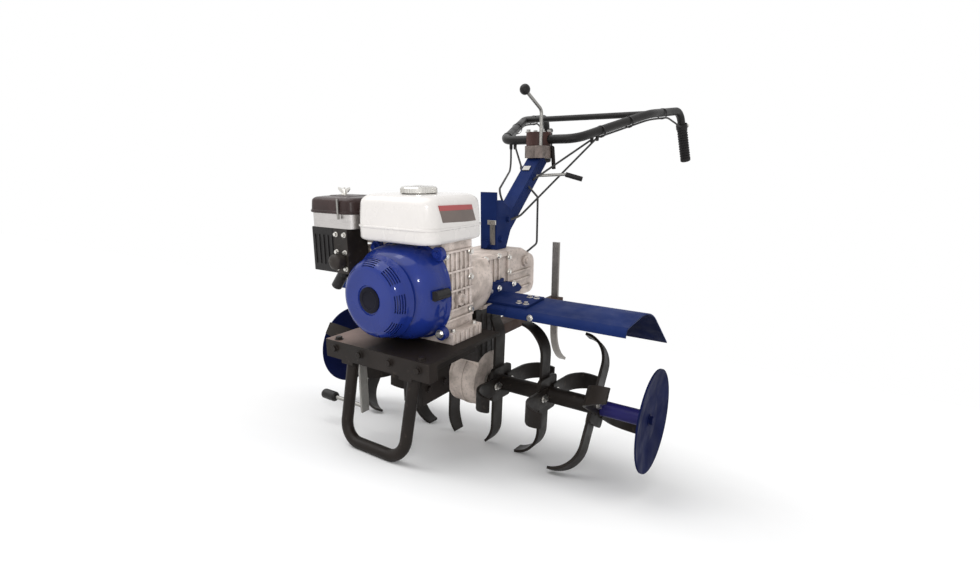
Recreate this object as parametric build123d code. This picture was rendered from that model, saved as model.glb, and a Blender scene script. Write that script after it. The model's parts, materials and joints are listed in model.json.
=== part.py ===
import os
from math import asin, atan2, cos, degrees, hypot, radians, sin, sqrt

from build123d import *

# Driving dimensions, in millimetres and degrees. The machine is drawn level, with the rotor axle
# at the origin: X to the operator's left, Y to the rear, Z up. At the end it is tipped about the
# axle until the bumper meets the ground, which is how it parks.
FIT = 0.2            # gap around a piece that is fixed in another
RUNNING_GAP = 0.4    # gap around a piece that turns or slides

# Rotor
SHAFT_D = 32
TUBE_D = 42
SHAFT_HOLD = 60      # length of shaft held inside a tine tube
FIRST_HUB_X = 82
HUB_PITCH = 142
HUB_PHASES = (-15, -15, 15)
FLANGE_SIZE = 92
FLANGE_THICK = 10
TINE_THICK = 7
TINE_WIDTH = 46
TINE_TIP_WIDTH = 34
TINE_TIP_R = 175
TINE_CURL_R = 75
TINE_CURL = 85
INNER_TINE_CURL = 45
TINES_PER_HUB = 4
DISC_X = 500
DISC_R = 123
DISC_THICK = 4
DISC_FLAT_R = 60
DISC_DISH = 10
STUB_SHAFT_D = 38

# Gearbox and clutch housing
LEG_HALF = 42
AXLE_CASE_R = 70
LEG_FRONT = 45
LEG_REAR = 45
CASE_HALF = 60
CASE_FRONT = -60
CASE_REAR = 216
CASE_BOTTOM = 215
CASE_TOP = 352
CASE_ROUND = 28
SLOPE_Y = 140
SLOPE_REAR_Z = 318
SEAM_THICK = 10
SEAM_STEP = 8
CRANK_Z = 296
CLUTCH_R = 95
CLUTCH_FRONT = -150
JOINT_Y = 66
JOINT_STEP = 6

# Engine bed
BED_HALF = 155
BED_FRONT = -385
BED_REAR = -120
BED_TOP = 188
BED_PLATE = 8
APRON_BOTTOM = 146
APRON_THICK = 26
RAIL_X = 88
RAIL_WIDTH = 36
RAIL_HEIGHT = 50
RAIL_CLEAR = 10
BOX_IN = 46
BOX_OUT = 100
BOX_FRONT = -345
BOX_REAR = -250
BOX_LOW = 68

# Bumper hoop
HOOP_D = 27
HOOP_TOP_HALF = 94
HOOP_FOOT_HALF = 90
HOOP_TOP_Y = -352
HOOP_FOOT_Y = -402
HOOP_FOOT_Z = -38
HOOP_CORNER_R = 46

# Engine
BLOCK_HALF = 95
BLOCK_FRONT = -262
SUMP_OUT = 27
SUMP_HIGH = 26
COVER_HALF = 120
COVER_BOTTOM = 190
COVER_TOP = 414
FAN_COVER_FRONT = -352
COVER_LOW_ROUND = 110
COVER_HIGH_ROUND = 98
COVER_EDGE = 58
DOME_R = 92
DOME_FACE_R = 74
DOME_FRONT = -392
DOME_EDGE = 24
DOME_SLOTS = 20
SLOT_LONG = 24
SLOT_WIDE = 5
SLOT_DEEP = 10
STARTER_GRIP_D = 22
STARTER_GRIP_FRONT = -320
STARTER_GRIP_LONG = 44
STARTER_GRIP_RISE = 10
TANK_LEFT = 125
TANK_RIGHT = -100
TANK_FRONT = -335
TANK_REAR = -130
TANK_BOTTOM = 417
TANK_TOP = 520
TANK_CORNER = 36
TANK_EDGE = 24
CAP_D = 82
CAP_HIGH = 17
CAP_X = 25
CAP_Y = -250
HEAD_OUT = 90
HEAD_BOTTOM = 262
HEAD_TOP = 385
FIN_PITCH = 15
FIN_GAP = 8
FIN_DEEP = 14
CLEANER_OUT = -258
CLEANER_IN = -108
CLEANER_FRONT = -330
CLEANER_REAR = -197
CLEANER_BASE_Z = 437
CLEANER_SPLIT_Z = 470
CLEANER_TOP = 510
CLEANER_ROUND = 22
BASE_STEP = 5
ELBOW_IN = -176
CARB_IN = -130
CARB_BOTTOM = 332
STUB_D = 26
STUB_OUT = 34
STUB_DROP = 42
MUFFLER_OUT = -235
MUFFLER_IN = -106
MUFFLER_FRONT = -188
MUFFLER_REAR = -94
MUFFLER_TOP = 492
MUFFLER_ROUND = 18

# Handle column, its foot and head
COLUMN_HALF = 22
COLUMN_DEEP = 38
COLUMN_BASE_Y = 76
PIVOT_Y = 342
HEAD_LOW_Z = 600
HEAD_RING_TOP = 636
HEAD_RING_R = 42
FOOT_PLATE = 4
FOOT_FLANGE = 12
FOOT_FRONT = 68
FOOT_REAR = 114
FOOT_TOP = 508
FOOT_SHOULDER = 446
FOOT_LEAN = 46
SPIGOT_D = 24
SPIGOT_LONG = 26

# Gear lever
LEVER_D = 10
LEVER_X = 30
LEVER_Y = 300
LEVER_BEND_Z = 737
KNOB_D = 30
KNOB_X = 18
KNOB_Y = 222
KNOB_Z = 786
LUG_WIDE = 26

# Handlebar
BAR_D = 27
BAR_Z = 655
BAR_FRONT_HALF = 125
BRACE_HALF = 235
BRACE_Y = 660
BRACE_Z = 742
BRACE_D = 20
BEND_HALF = 270
BEND_Y = 900
BEND_Z = 768
BAR_END_HALF = 290
BAR_END_Y = 952
BAR_END_Z = 598
CORNER_R = 52
ARM_R = 300
DROP_R = 46
CLAMP_R = 38
CLAMP_OVER = 8
GRIP_D = 36
GRIP_LONG = 112
GRIP_CAP = 5
HAND_LEVER_D = 9
HAND_LEVER_OFF = 45

# Side lever on the column
SIDE_LEVER_Y = 296
SIDE_LEVER_Z = 548
SIDE_LEVER_D = 9
SIDE_LEVER_LONG = 74
SIDE_LEVER_BACK = 42
SIDE_LEVER_RISE = 4
SIDE_GRIP_D = 15
SIDE_GRIP_LONG = 52
SIDE_GRIP_DROP = 24

# Lock lever on the head
LOCK_D = 12
LOCK_LONG = 62

# Control cables, at places on the machine that they pass
CABLE_D = 6
CABLE_BEND_R = 90
CLUTCH_CABLE_AT = 0.2        # share of the arm, from its front corner
CLUTCH_CABLE_Y = 269
CLUTCH_CABLE_Z = 536
DRIVE_CABLE_AT = 0.27
DRIVE_SAG_Y = 322
DRIVE_SAG_Z = 516
DRIVE_LOW_Y = 178
DRIVE_LOW_Z = 436
DRIVE_END_Y = 118
DRIVE_END_Z = 426
THROTTLE_CABLE_X = -99
THROTTLE_TURN_Z = 566
THROTTLE_LOW_Y = 112
THROTTLE_LOW_Z = 508
THROTTLE_END_Z = 456
ARM_CABLE_LEFT = 0.3          # where the run along each arm starts
ARM_CABLE_RIGHT = 0.13
ARM_CABLE_OFF_Y = 800         # where it leaves the arm for the lever
STOP_CABLE_X = -84
STOP_CABLE_Y = 285
STOP_CABLE_Z = 560
GEAR_CABLE_IN = 4            # from the gearbox's left face
GEAR_CABLE_OUT = 16          # gap behind the gearbox
GEAR_CABLE_Y = 247
GEAR_CABLE_Z = 522
GEAR_TURN_Z = 488

# Fenders and their brackets
FENDER_IN = 140
FENDER_OUT = 452
FENDER_THICK = 3
FENDER_FRONT_Y = -78
FENDER_FRONT_Z = 232
FENDER_CREST_Y = 92
FENDER_CREST_Z = 242
FENDER_REAR_Y = 266
FENDER_REAR_Z = 107
FENDER_LIP = 18
FENDER_CREST_R = 190
BRACKET_OUT = 190
BRACKET_FRONT = -54
BRACKET_REAR = 40
BRACKET_THICK = 6
BRACKET_HIGH = 42

# Hitch bracket and depth stake
HITCH_HALF = 24
HITCH_LOW = 96
HITCH_HIGH = 128
HITCH_REAR = 500
HITCH_BORE = 16
HITCH_BORE_Y = 300
STAKE_WIDE = 24
STAKE_THICK = 10
STAKE_Y = 484
STAKE_TOP = 322
STAKE_FOOT_Z = -140
STAKE_HOOK_R = 150
STAKE_HOOK = 62

# Front lever below the bed
FRONT_LEVER_IN = 7     # from the bed's right edge
FRONT_LEVER_Y = -300
FRONT_LEVER_WIDE = 24
FRONT_LEVER_THICK = 6
FRONT_LEVER_FOOT = -32
FRONT_ROD_D = 10
FRONT_ROD_LONG = 102
FRONT_GRIP_D = 26
FRONT_GRIP_LONG = 52


def block(left, right, front, rear, low, high):
    """A block between two X, two Y and two Z limits."""
    middle = Pos((left + right) / 2, (front + rear) / 2, (low + high) / 2)
    return middle * Box(abs(right - left), rear - front, high - low)


def rod(start, end, diameter):
    """A round bar from one point to another."""
    way = Vector(*end) - Vector(*start)
    return Solid.make_cylinder(diameter / 2, way.length, Plane(origin=start, z_dir=way))


def bent_tube(points, radii, diameter):
    """A round bar along straight runs joined by arcs."""
    path = FilletPolyline(*points, radius=radii)
    section = Plane(origin=path @ 0, z_dir=path % 0) * Circle(diameter / 2)
    return sweep(section, path=path)


def across(radius, left, right, y, z):
    """A cylinder that lies along X."""
    return rod((left, y, z), (right, y, z), 2 * radius)


def side_profile(points, left, right):
    """A closed outline of (Y, Z) points, made thick along X."""
    face = Plane.YZ.offset(left) * make_face(Polyline(*points, close=True))
    return extrude(face, right - left)


def mirrored(shape):
    """The same piece on the other side of the machine."""
    return shape.mirror(Plane.YZ)


# Rotor: a tube on each side carries three square flanges, each with four curled tines
def tine(curl, side):
    """One flat tine that points down from the axle and curls to one side along X."""
    reach = TINE_CURL_R * (1 - cos(radians(curl)))
    rise = TINE_CURL_R * sin(radians(curl))
    shank = Line((0, -SHAFT_D / 2 - TINE_THICK / 4), (0, rise - TINE_TIP_R))
    hook = JernArc(start=shank @ 1, tangent=shank % 1, radius=TINE_CURL_R, arc_size=side * curl)
    flat = trace(shank + hook, line_width=TINE_THICK)
    bar = extrude(Plane.XZ * flat, TINE_WIDTH / 2, both=True)
    half = TINE_WIDTH / 2
    start = side * reach / 3
    end = side * (reach + TINE_THICK)
    outline = Polyline(
        (-side * TINE_THICK, -half), (end, -half), (end, TINE_TIP_WIDTH - half), (start, half),
        (-side * TINE_THICK, half), close=True)
    trim = extrude(make_face(outline), -TINE_TIP_R - TINE_WIDTH)
    return bar & trim


tube_start = LEG_HALF + SHAFT_D / 4
tube_end = FIRST_HUB_X + 2 * HUB_PITCH + FLANGE_THICK / 2 + TINE_THICK


def tine_set():
    """The left tube with its flanges and tines."""
    tube = across(TUBE_D / 2, tube_start, tube_end, 0, 0)
    seat = FLANGE_THICK / 2 + TINE_THICK / 2 - FIT
    for number, phase in enumerate(HUB_PHASES):
        x = FIRST_HUB_X + number * HUB_PITCH
        plate = Box(FLANGE_THICK, FLANGE_SIZE, FLANGE_SIZE)
        plate = fillet(plate.edges().filter_by(Axis.X), FLANGE_SIZE / 8)
        tube += Pos(x, 0, 0) * Rot(X=-phase) * plate
        for place in range(TINES_PER_HUB):
            side = -1 if place % 2 == 0 else 1
            curl = INNER_TINE_CURL if number == 0 and side < 0 else TINE_CURL
            turn = Rot(X=-phase - place * 360 / TINES_PER_HUB)
            tube += Pos(x + side * seat, 0, 0) * turn * tine(curl, side)
    return tube - across(SHAFT_D / 2 + FIT, tube_start - FIT, tube_end + FIT, 0, 0)


left_tines = tine_set()
shaft_reach = tube_start + SHAFT_HOLD
axle_shaft = across(SHAFT_D / 2, -shaft_reach, shaft_reach, 0, 0)


def end_disc():
    """A dished plate on a stub shaft that plugs into the tine tube."""
    middle = DISC_X - DISC_DISH
    outline = Polyline(
        (middle, 0), (middle + DISC_THICK, 0), (middle + DISC_THICK, DISC_FLAT_R),
        (DISC_X + DISC_THICK, DISC_R), (DISC_X, DISC_R), (middle, DISC_FLAT_R), close=True)
    plate = revolve(make_face(outline), Axis.X)
    plate += across(STUB_SHAFT_D / 2, tube_end, middle + DISC_THICK / 2, 0, 0)
    return plate + across(SHAFT_D / 2, tube_end - SHAFT_HOLD, tube_end, 0, 0)


left_disc = end_disc()

# Gearbox: a narrow leg down to a round axle case, under a wide upper case split on a bolted seam
leg_outline = ((-LEG_FRONT, 0), (LEG_REAR, 0), (LEG_REAR + CASE_ROUND, CASE_BOTTOM + CASE_ROUND),
               (CASE_FRONT, CASE_BOTTOM + CASE_ROUND))


def gearbox():
    """The cast case with its seam flange, upright joint and axle bore."""
    outline = ((CASE_FRONT, CASE_BOTTOM), (CASE_FRONT, CASE_TOP), (SLOPE_Y, CASE_TOP),
               (CASE_REAR, SLOPE_REAR_Z), (CASE_REAR, CASE_BOTTOM))
    upper = side_profile(outline, -CASE_HALF, CASE_HALF)
    upper = fillet(upper.edges().filter_by(Axis.X).group_by(Axis.Y)[-1], CASE_ROUND)
    case = upper + side_profile(leg_outline, -LEG_HALF, LEG_HALF)
    case += across(AXLE_CASE_R, -LEG_HALF, LEG_HALF, 0, 0)
    seam = SEAM_THICK / 2
    case += across(AXLE_CASE_R + SEAM_STEP, -seam, seam, 0, 0)
    seam_outline = ((CASE_FRONT, CASE_BOTTOM - SEAM_STEP), (CASE_FRONT, CASE_TOP), (SLOPE_Y, CASE_TOP),
                    (CASE_REAR + SEAM_STEP, SLOPE_REAR_Z), (CASE_REAR + SEAM_STEP, CASE_BOTTOM - SEAM_STEP))
    case += side_profile(seam_outline, -seam, seam)
    joint_x = CASE_HALF + JOINT_STEP
    case += block(-joint_x, joint_x, JOINT_Y - seam, JOINT_Y + seam, CASE_BOTTOM, CASE_TOP)
    return case - across(SHAFT_D / 2 + RUNNING_GAP, -DISC_X, DISC_X, 0, 0)


gearbox_housing = gearbox()
clutch_housing = rod((0, CLUTCH_FRONT, CRANK_Z), (0, CASE_FRONT, CRANK_Z), 2 * CLUTCH_R)
clutch_housing = clutch_housing & block(
    -CLUTCH_R, CLUTCH_R, CLUTCH_FRONT, CASE_FRONT, CASE_BOTTOM, CASE_TOP)

# Engine bed: a top plate with a front apron, on two rails that run back to the gearbox
engine_bed = block(-BED_HALF, BED_HALF, BED_FRONT, BED_REAR, BED_TOP - BED_PLATE, BED_TOP)
engine_bed += block(-BED_HALF, BED_HALF, BED_FRONT, BED_FRONT + APRON_THICK,
                    APRON_BOTTOM, BED_TOP)
rotor_swing = TINE_TIP_R + TINE_WIDTH / 2
rail_low = BED_TOP - RAIL_HEIGHT
rail_rear = -sqrt(rotor_swing**2 - rail_low**2) - RAIL_CLEAR
for side in (-1, 1):
    rail_in = side * (RAIL_X - RAIL_WIDTH / 2)
    rail_out = side * (RAIL_X + RAIL_WIDTH / 2)
    engine_bed += block(rail_in, rail_out, BED_FRONT, rail_rear, rail_low, BED_TOP)
engine_bed += block(-RAIL_X, RAIL_X, rail_rear - RAIL_WIDTH, rail_rear, rail_low, BED_TOP)
engine_bed += block(-LEG_HALF, LEG_HALF, rail_rear - RAIL_WIDTH, LEG_REAR, rail_low, BED_TOP)
engine_bed += block(BOX_IN, BOX_OUT, BOX_FRONT, BOX_REAR, BOX_LOW, rail_low)
leg_room = side_profile(leg_outline, -LEG_HALF - FIT, LEG_HALF + FIT)
engine_bed -= leg_room


# Bumper: a hoop of round tube that hangs from the front of the bed
def bumper_hoop():
    """The bent tube, cut where its legs meet the bed."""
    rise = BED_TOP - BED_PLATE - HOOP_FOOT_Z
    drop = hypot(rise, HOOP_TOP_Y - HOOP_FOOT_Y)
    lean = Plane(origin=(0, HOOP_TOP_Y, HOOP_FOOT_Z + rise), x_dir=(1, 0, 0),
                 z_dir=(0, -rise, HOOP_TOP_Y - HOOP_FOOT_Y))
    flat = ((-HOOP_TOP_HALF, 0), (-HOOP_FOOT_HALF, -drop), (HOOP_FOOT_HALF, -drop),
            (HOOP_TOP_HALF, 0))
    points = [lean.from_local_coords(Vector(x, y, 0)) for x, y in flat]
    return bent_tube(points, HOOP_CORNER_R, HOOP_D)


bumper = bumper_hoop() - engine_bed
bumper = bumper.solids().sort_by(SortBy.VOLUME)[-1]

# Engine: plain block on a wider sump, finned head to the right, blue fan cover in front, tank on top
engine_block = block(-BLOCK_HALF, BLOCK_HALF, BLOCK_FRONT, CLUTCH_FRONT, BED_TOP, TANK_BOTTOM)
sump_half = BLOCK_HALF + SUMP_OUT
engine_block += block(-sump_half, sump_half, BLOCK_FRONT, CLUTCH_FRONT, BED_TOP, BED_TOP + SUMP_HIGH)


def finned_head():
    """The cylinder head with its cooling fins cut all round."""
    head = block(-BLOCK_HALF - HEAD_OUT, -BLOCK_HALF, BLOCK_FRONT, CLUTCH_FRONT,
                 HEAD_BOTTOM, HEAD_TOP)
    core = block(-BLOCK_HALF - HEAD_OUT, -BLOCK_HALF, BLOCK_FRONT + FIN_DEEP,
                 CLUTCH_FRONT - FIN_DEEP, HEAD_BOTTOM + FIN_DEEP, HEAD_TOP - FIN_DEEP)
    x = -BLOCK_HALF - FIN_PITCH
    while x > -BLOCK_HALF - HEAD_OUT + FIN_PITCH:
        gap = block(x - FIN_GAP, x, BLOCK_FRONT, CLUTCH_FRONT, HEAD_BOTTOM, HEAD_TOP)
        head -= gap - core
        x -= FIN_PITCH
    return head


cylinder_head = finned_head()


def fan_shroud():
    """The pressed cover: a rounded square outline with a soft front edge."""
    middle = (COVER_BOTTOM + COVER_TOP) / 2
    square = Rectangle(2 * COVER_HALF, COVER_TOP - COVER_BOTTOM)
    low = square.vertices().group_by(Axis.Y)[0]
    outline = fillet(low, COVER_LOW_ROUND)
    outline = fillet(outline.vertices().group_by(Axis.Y)[-1], COVER_HIGH_ROUND)
    back = Plane(origin=(0, BLOCK_FRONT, middle), x_dir=(1, 0, 0), z_dir=(0, -1, 0))
    shroud = extrude(back * outline, BLOCK_FRONT - FAN_COVER_FRONT)
    return fillet(shroud.faces().sort_by(Axis.Y)[0].edges(), COVER_EDGE)


fan_cover = fan_shroud()
fan_z = (COVER_BOTTOM + COVER_TOP) / 2


def recoil_dome():
    """The starter's cone with a ring of cooling slots in its sloping side."""
    outline = Polyline(
        (0, FAN_COVER_FRONT), (DOME_R, FAN_COVER_FRONT), (DOME_FACE_R, DOME_FRONT),
        (0, DOME_FRONT), close=True)
    dome = revolve(make_face(outline), Axis.Y)
    dome = fillet(dome.edges().group_by(Axis.Y)[0], DOME_EDGE)
    slot = Pos(DOME_FACE_R - SLOT_LONG, DOME_FRONT, 0) * Box(SLOT_LONG, 2 * SLOT_DEEP, SLOT_WIDE)
    for number in range(DOME_SLOTS):
        dome -= Rot(Y=number * 360 / DOME_SLOTS) * slot
    return Pos(0, 0, fan_z) * dome


starter_dome = recoil_dome()
grip_z = fan_z + STARTER_GRIP_RISE
starter_grip = rod((COVER_HALF, STARTER_GRIP_FRONT, grip_z),
                   (COVER_HALF, STARTER_GRIP_FRONT + STARTER_GRIP_LONG, grip_z), STARTER_GRIP_D)
starter_grip -= fan_cover


def rounded_box(left, right, front, rear, low, high, corner, edge):
    """A block with round upright corners and a soft top edge."""
    body = block(left, right, front, rear, low, high)
    body = fillet(body.edges().filter_by(Axis.Z), corner)
    return fillet(body.faces().sort_by(Axis.Z)[-1].edges(), edge)


fuel_tank = rounded_box(TANK_RIGHT, TANK_LEFT, TANK_FRONT, TANK_REAR, TANK_BOTTOM, TANK_TOP,
                        TANK_CORNER, TANK_EDGE)
fuel_cap = rod((CAP_X, CAP_Y, TANK_TOP), (CAP_X, CAP_Y, TANK_TOP + CAP_HIGH), CAP_D)

air_cleaner = rounded_box(CLEANER_OUT, CLEANER_IN, CLEANER_FRONT, CLEANER_REAR,
                          CLEANER_SPLIT_Z, CLEANER_TOP, CLEANER_ROUND, CLEANER_ROUND / 2)
air_cleaner_base = block(CLEANER_OUT + BASE_STEP, CLEANER_IN - BASE_STEP,
                         CLEANER_FRONT + BASE_STEP, CLEANER_REAR - BASE_STEP,
                         CLEANER_BASE_Z, CLEANER_SPLIT_Z)
air_cleaner_base = fillet(air_cleaner_base.edges().filter_by(Axis.Z), CLEANER_ROUND - BASE_STEP)
carburettor = block(ELBOW_IN, CARB_IN, CLEANER_FRONT + BASE_STEP, BLOCK_FRONT,
                    CARB_BOTTOM, CLEANER_BASE_Z)
intake_elbow = rounded_box(CLEANER_OUT + BASE_STEP, ELBOW_IN, CLEANER_FRONT + BASE_STEP, BLOCK_FRONT,
                           CARB_BOTTOM, CLEANER_BASE_Z, BASE_STEP, BASE_STEP / 2)
stub_y = (CLEANER_FRONT + BLOCK_FRONT) / 2
inlet_stub = rod((ELBOW_IN, stub_y, CARB_BOTTOM), (ELBOW_IN - STUB_OUT, stub_y, CARB_BOTTOM - STUB_DROP),
                 STUB_D)
inlet_stub = inlet_stub + rod((ELBOW_IN, stub_y, CARB_BOTTOM - STUB_D / 2),
                              (ELBOW_IN, stub_y, CARB_BOTTOM), STUB_D)
inlet_stub = inlet_stub - intake_elbow - carburettor
muffler = rounded_box(MUFFLER_OUT, MUFFLER_IN, MUFFLER_FRONT, MUFFLER_REAR, HEAD_TOP, MUFFLER_TOP,
                      MUFFLER_ROUND, MUFFLER_ROUND / 2)

# Column: a flange with two cheeks and a tall front plate holds a box section that leans back to
# the swivel head
foot_half = COLUMN_HALF + FOOT_PLATE
foot_outline = ((FOOT_FRONT, CASE_TOP), (FOOT_REAR, CASE_TOP), (FOOT_REAR + FOOT_LEAN, FOOT_SHOULDER),
                (FOOT_FRONT, FOOT_SHOULDER))
column_foot = block(-foot_half, foot_half, FOOT_FRONT, FOOT_REAR, CASE_TOP, CASE_TOP + FOOT_FLANGE)
for side in (-1, 1):
    cheek_in = side * COLUMN_HALF
    cheek_out = side * foot_half
    column_foot += side_profile(foot_outline, min(cheek_in, cheek_out), max(cheek_in, cheek_out))
column_foot += block(-foot_half, foot_half, FOOT_FRONT - FOOT_PLATE, FOOT_FRONT, CASE_TOP, FOOT_TOP)


def leaning_box():
    """The column's box section, cut level at the foot flange and under the head."""
    base_z = CASE_TOP + FOOT_FLANGE
    lean = degrees(atan2(PIVOT_Y - COLUMN_BASE_Y, HEAD_LOW_Z - base_z))
    long = hypot(PIVOT_Y - COLUMN_BASE_Y, HEAD_LOW_Z - base_z)
    bar = Box(2 * COLUMN_HALF, COLUMN_DEEP, 2 * long)
    bar = Pos(0, COLUMN_BASE_Y, base_z) * Rot(X=-lean) * bar
    return bar & block(-COLUMN_HALF, COLUMN_HALF, FOOT_FRONT, CASE_REAR + PIVOT_Y, base_z, HEAD_LOW_Z)


column = leaning_box()
column_head = rod((0, PIVOT_Y, HEAD_LOW_Z), (0, PIVOT_Y, HEAD_RING_TOP), 2 * HEAD_RING_R)
column_head += block(LEVER_X - LUG_WIDE / 2, LEVER_X + LUG_WIDE / 2, LEVER_Y - LUG_WIDE / 2, PIVOT_Y,
                     HEAD_LOW_Z, HEAD_RING_TOP)
spigot_hole = rod((0, PIVOT_Y, HEAD_RING_TOP - SPIGOT_LONG - RUNNING_GAP),
                  (0, PIVOT_Y, HEAD_RING_TOP), SPIGOT_D + 2 * RUNNING_GAP)
column_head -= spigot_hole

# Gear lever: a cranked rod in a lug of the head, with a ball knob
gear_lever = bent_tube(((LEVER_X, LEVER_Y, HEAD_RING_TOP), (LEVER_X, LEVER_Y, LEVER_BEND_Z),
                        (KNOB_X, KNOB_Y, KNOB_Z)), 2 * LEVER_D, LEVER_D)
gear_knob = Pos(KNOB_X, KNOB_Y, KNOB_Z) * Sphere(KNOB_D / 2)
gear_lever -= gear_knob

# Side lever: a short rod and grip on the left of the column
side_start = Vector(COLUMN_HALF, SIDE_LEVER_Y, SIDE_LEVER_Z)
side_way = Vector(SIDE_LEVER_LONG, SIDE_LEVER_BACK, SIDE_LEVER_RISE)
side_end = side_start + side_way
grip_way = Vector(SIDE_LEVER_LONG, SIDE_LEVER_BACK, -SIDE_GRIP_DROP)
side_tip = side_end + grip_way.normalized() * SIDE_GRIP_LONG
side_lever_grip = rod(tuple(side_end), tuple(side_tip), SIDE_GRIP_D)
side_lever = rod(tuple(side_start - side_way.normalized() * SIDE_LEVER_D), tuple(side_end), SIDE_LEVER_D)
side_lever = side_lever - column - side_lever_grip
side_lever = side_lever.solids().sort_by(SortBy.VOLUME)[-1]

# Lock lever: a short handle on the left of the head that clamps the swivel
lock_top = (HEAD_RING_R + LOCK_D / 2, PIVOT_Y, HEAD_RING_TOP - LOCK_D / 2)
lock_lever = rod((HEAD_RING_R - LOCK_D, PIVOT_Y, lock_top[2]), lock_top, LOCK_D)
lock_lever += Pos(*lock_top) * Sphere(LOCK_D / 2)
lock_lever += rod(lock_top, (lock_top[0], PIVOT_Y + LOCK_D, lock_top[2] - LOCK_LONG), LOCK_D)
lock_lever -= column_head

# Handlebar: one bent tube from grip to grip, a cross brace, and a clamp that turns on the head
bar_left = ((BAR_END_HALF, BAR_END_Y, BAR_END_Z), (BEND_HALF, BEND_Y, BEND_Z),
            (BRACE_HALF, BRACE_Y, BRACE_Z), (BAR_FRONT_HALF, PIVOT_Y, BAR_Z))
bar_right = tuple((-x, y, z) for x, y, z in reversed(bar_left))
bar_radii = (DROP_R, ARM_R, CORNER_R, CORNER_R, ARM_R, DROP_R)
handlebar = bent_tube(bar_left + bar_right, bar_radii, BAR_D)
handlebar += rod((-BRACE_HALF, BRACE_Y, BRACE_Z), (BRACE_HALF, BRACE_Y, BRACE_Z), BRACE_D)
clamp_low = HEAD_RING_TOP + RUNNING_GAP
clamp_top = BAR_Z + BAR_D / 2 + CLAMP_OVER
handlebar_clamp = rod((0, PIVOT_Y, clamp_low), (0, PIVOT_Y, clamp_top), 2 * CLAMP_R)
handlebar_clamp += rod((0, PIVOT_Y, HEAD_RING_TOP - SPIGOT_LONG), (0, PIVOT_Y, clamp_low), SPIGOT_D)
handlebar_clamp -= across(BAR_D / 2 + FIT, -CLAMP_R, CLAMP_R, PIVOT_Y, BAR_Z)


def hand_grip():
    """The rubber sleeve over the drooping end of the bar."""
    end = Vector(*bar_left[0])
    up = (Vector(*bar_left[1]) - end).normalized()
    low = end - up * (GRIP_CAP + FIT)
    top = end + up * GRIP_LONG
    sleeve = rod(tuple(low), tuple(top), GRIP_D)
    return sleeve - rod(tuple(end - up * FIT), tuple(top + up), BAR_D + 2 * FIT)


def lever_perch():
    """Where the hand lever is held on the bar, just above the grip."""
    end = Vector(*bar_left[0])
    up = (Vector(*bar_left[1]) - end).normalized()
    return end + up * (GRIP_LONG + HAND_LEVER_D)


def brake_lever():
    """The bent hand lever that hangs behind the grip."""
    end = Vector(*bar_left[0])
    up = (Vector(*bar_left[1]) - end).normalized()
    perch = lever_perch()
    out = perch + Vector(0, HAND_LEVER_OFF, HAND_LEVER_D)
    tip = end + Vector(0, HAND_LEVER_OFF, 0) + up * HAND_LEVER_OFF
    arm = bent_tube((tuple(perch), tuple(out), tuple(tip)), HAND_LEVER_D, HAND_LEVER_D)
    return arm - handlebar


left_grip = hand_grip()
left_hand_lever = brake_lever().solids().sort_by(SortBy.VOLUME)[-1]


# Control cables: four from the handlebar to the column, one from the column to the gearbox, and
# a run below each arm to its hand lever
def under_arm(share):
    """The place for a cable's end below the left arm."""
    corner = Vector(*bar_left[-1])
    along = corner + (Vector(*bar_left[-2]) - corner) * share
    return (along.X, along.Y, along.Z - cable_below)


cable_below = BAR_D / 2 + CABLE_D * 3 / 4
under_bar = BAR_Z - cable_below
beside_column = COLUMN_HALF + CABLE_D / 2
clutch_cable = rod(under_arm(CLUTCH_CABLE_AT), (COLUMN_HALF, CLUTCH_CABLE_Y, CLUTCH_CABLE_Z), CABLE_D)
drive_cable = bent_tube((
    under_arm(DRIVE_CABLE_AT), (2 * beside_column, DRIVE_SAG_Y, DRIVE_SAG_Z),
    (foot_half + CABLE_D, DRIVE_LOW_Y, DRIVE_LOW_Z), (COLUMN_HALF, DRIVE_END_Y, DRIVE_END_Z)),
    CABLE_BEND_R, CABLE_D)
throttle_cable = bent_tube((
    (THROTTLE_CABLE_X, PIVOT_Y, under_bar), (THROTTLE_CABLE_X, PIVOT_Y, THROTTLE_TURN_Z),
    (0, THROTTLE_LOW_Y, THROTTLE_LOW_Z), (0, THROTTLE_LOW_Y + CABLE_BEND_R / 2, THROTTLE_END_Z)),
    (CABLE_BEND_R / 2, CABLE_BEND_R / 4), CABLE_D)
stop_cable = rod((STOP_CABLE_X, PIVOT_Y, under_bar), (-COLUMN_HALF, STOP_CABLE_Y, STOP_CABLE_Z), CABLE_D)
fixed_parts = column + column_foot
control_cables = []
for cable in (clutch_cable, drive_cable, throttle_cable, stop_cable):
    outside = cable - fixed_parts
    control_cables.append(outside.solids().sort_by(SortBy.VOLUME)[-1])


def arm_cable(share):
    """The run below the left arm, from a share of its front length to the hand lever."""
    bend = Vector(*bar_left[2])
    rise = (Vector(*bar_left[1]) - bend) * ((ARM_CABLE_OFF_Y - BRACE_Y) / (BEND_Y - BRACE_Y))
    off = bend + rise
    perch = lever_perch()
    points = (under_arm(share), (bend.X, bend.Y, bend.Z - cable_below),
              (off.X, off.Y, off.Z - cable_below), (perch.X, perch.Y - cable_below, perch.Z))
    return bent_tube(points, (ARM_R, CABLE_BEND_R), CABLE_D)


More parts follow.
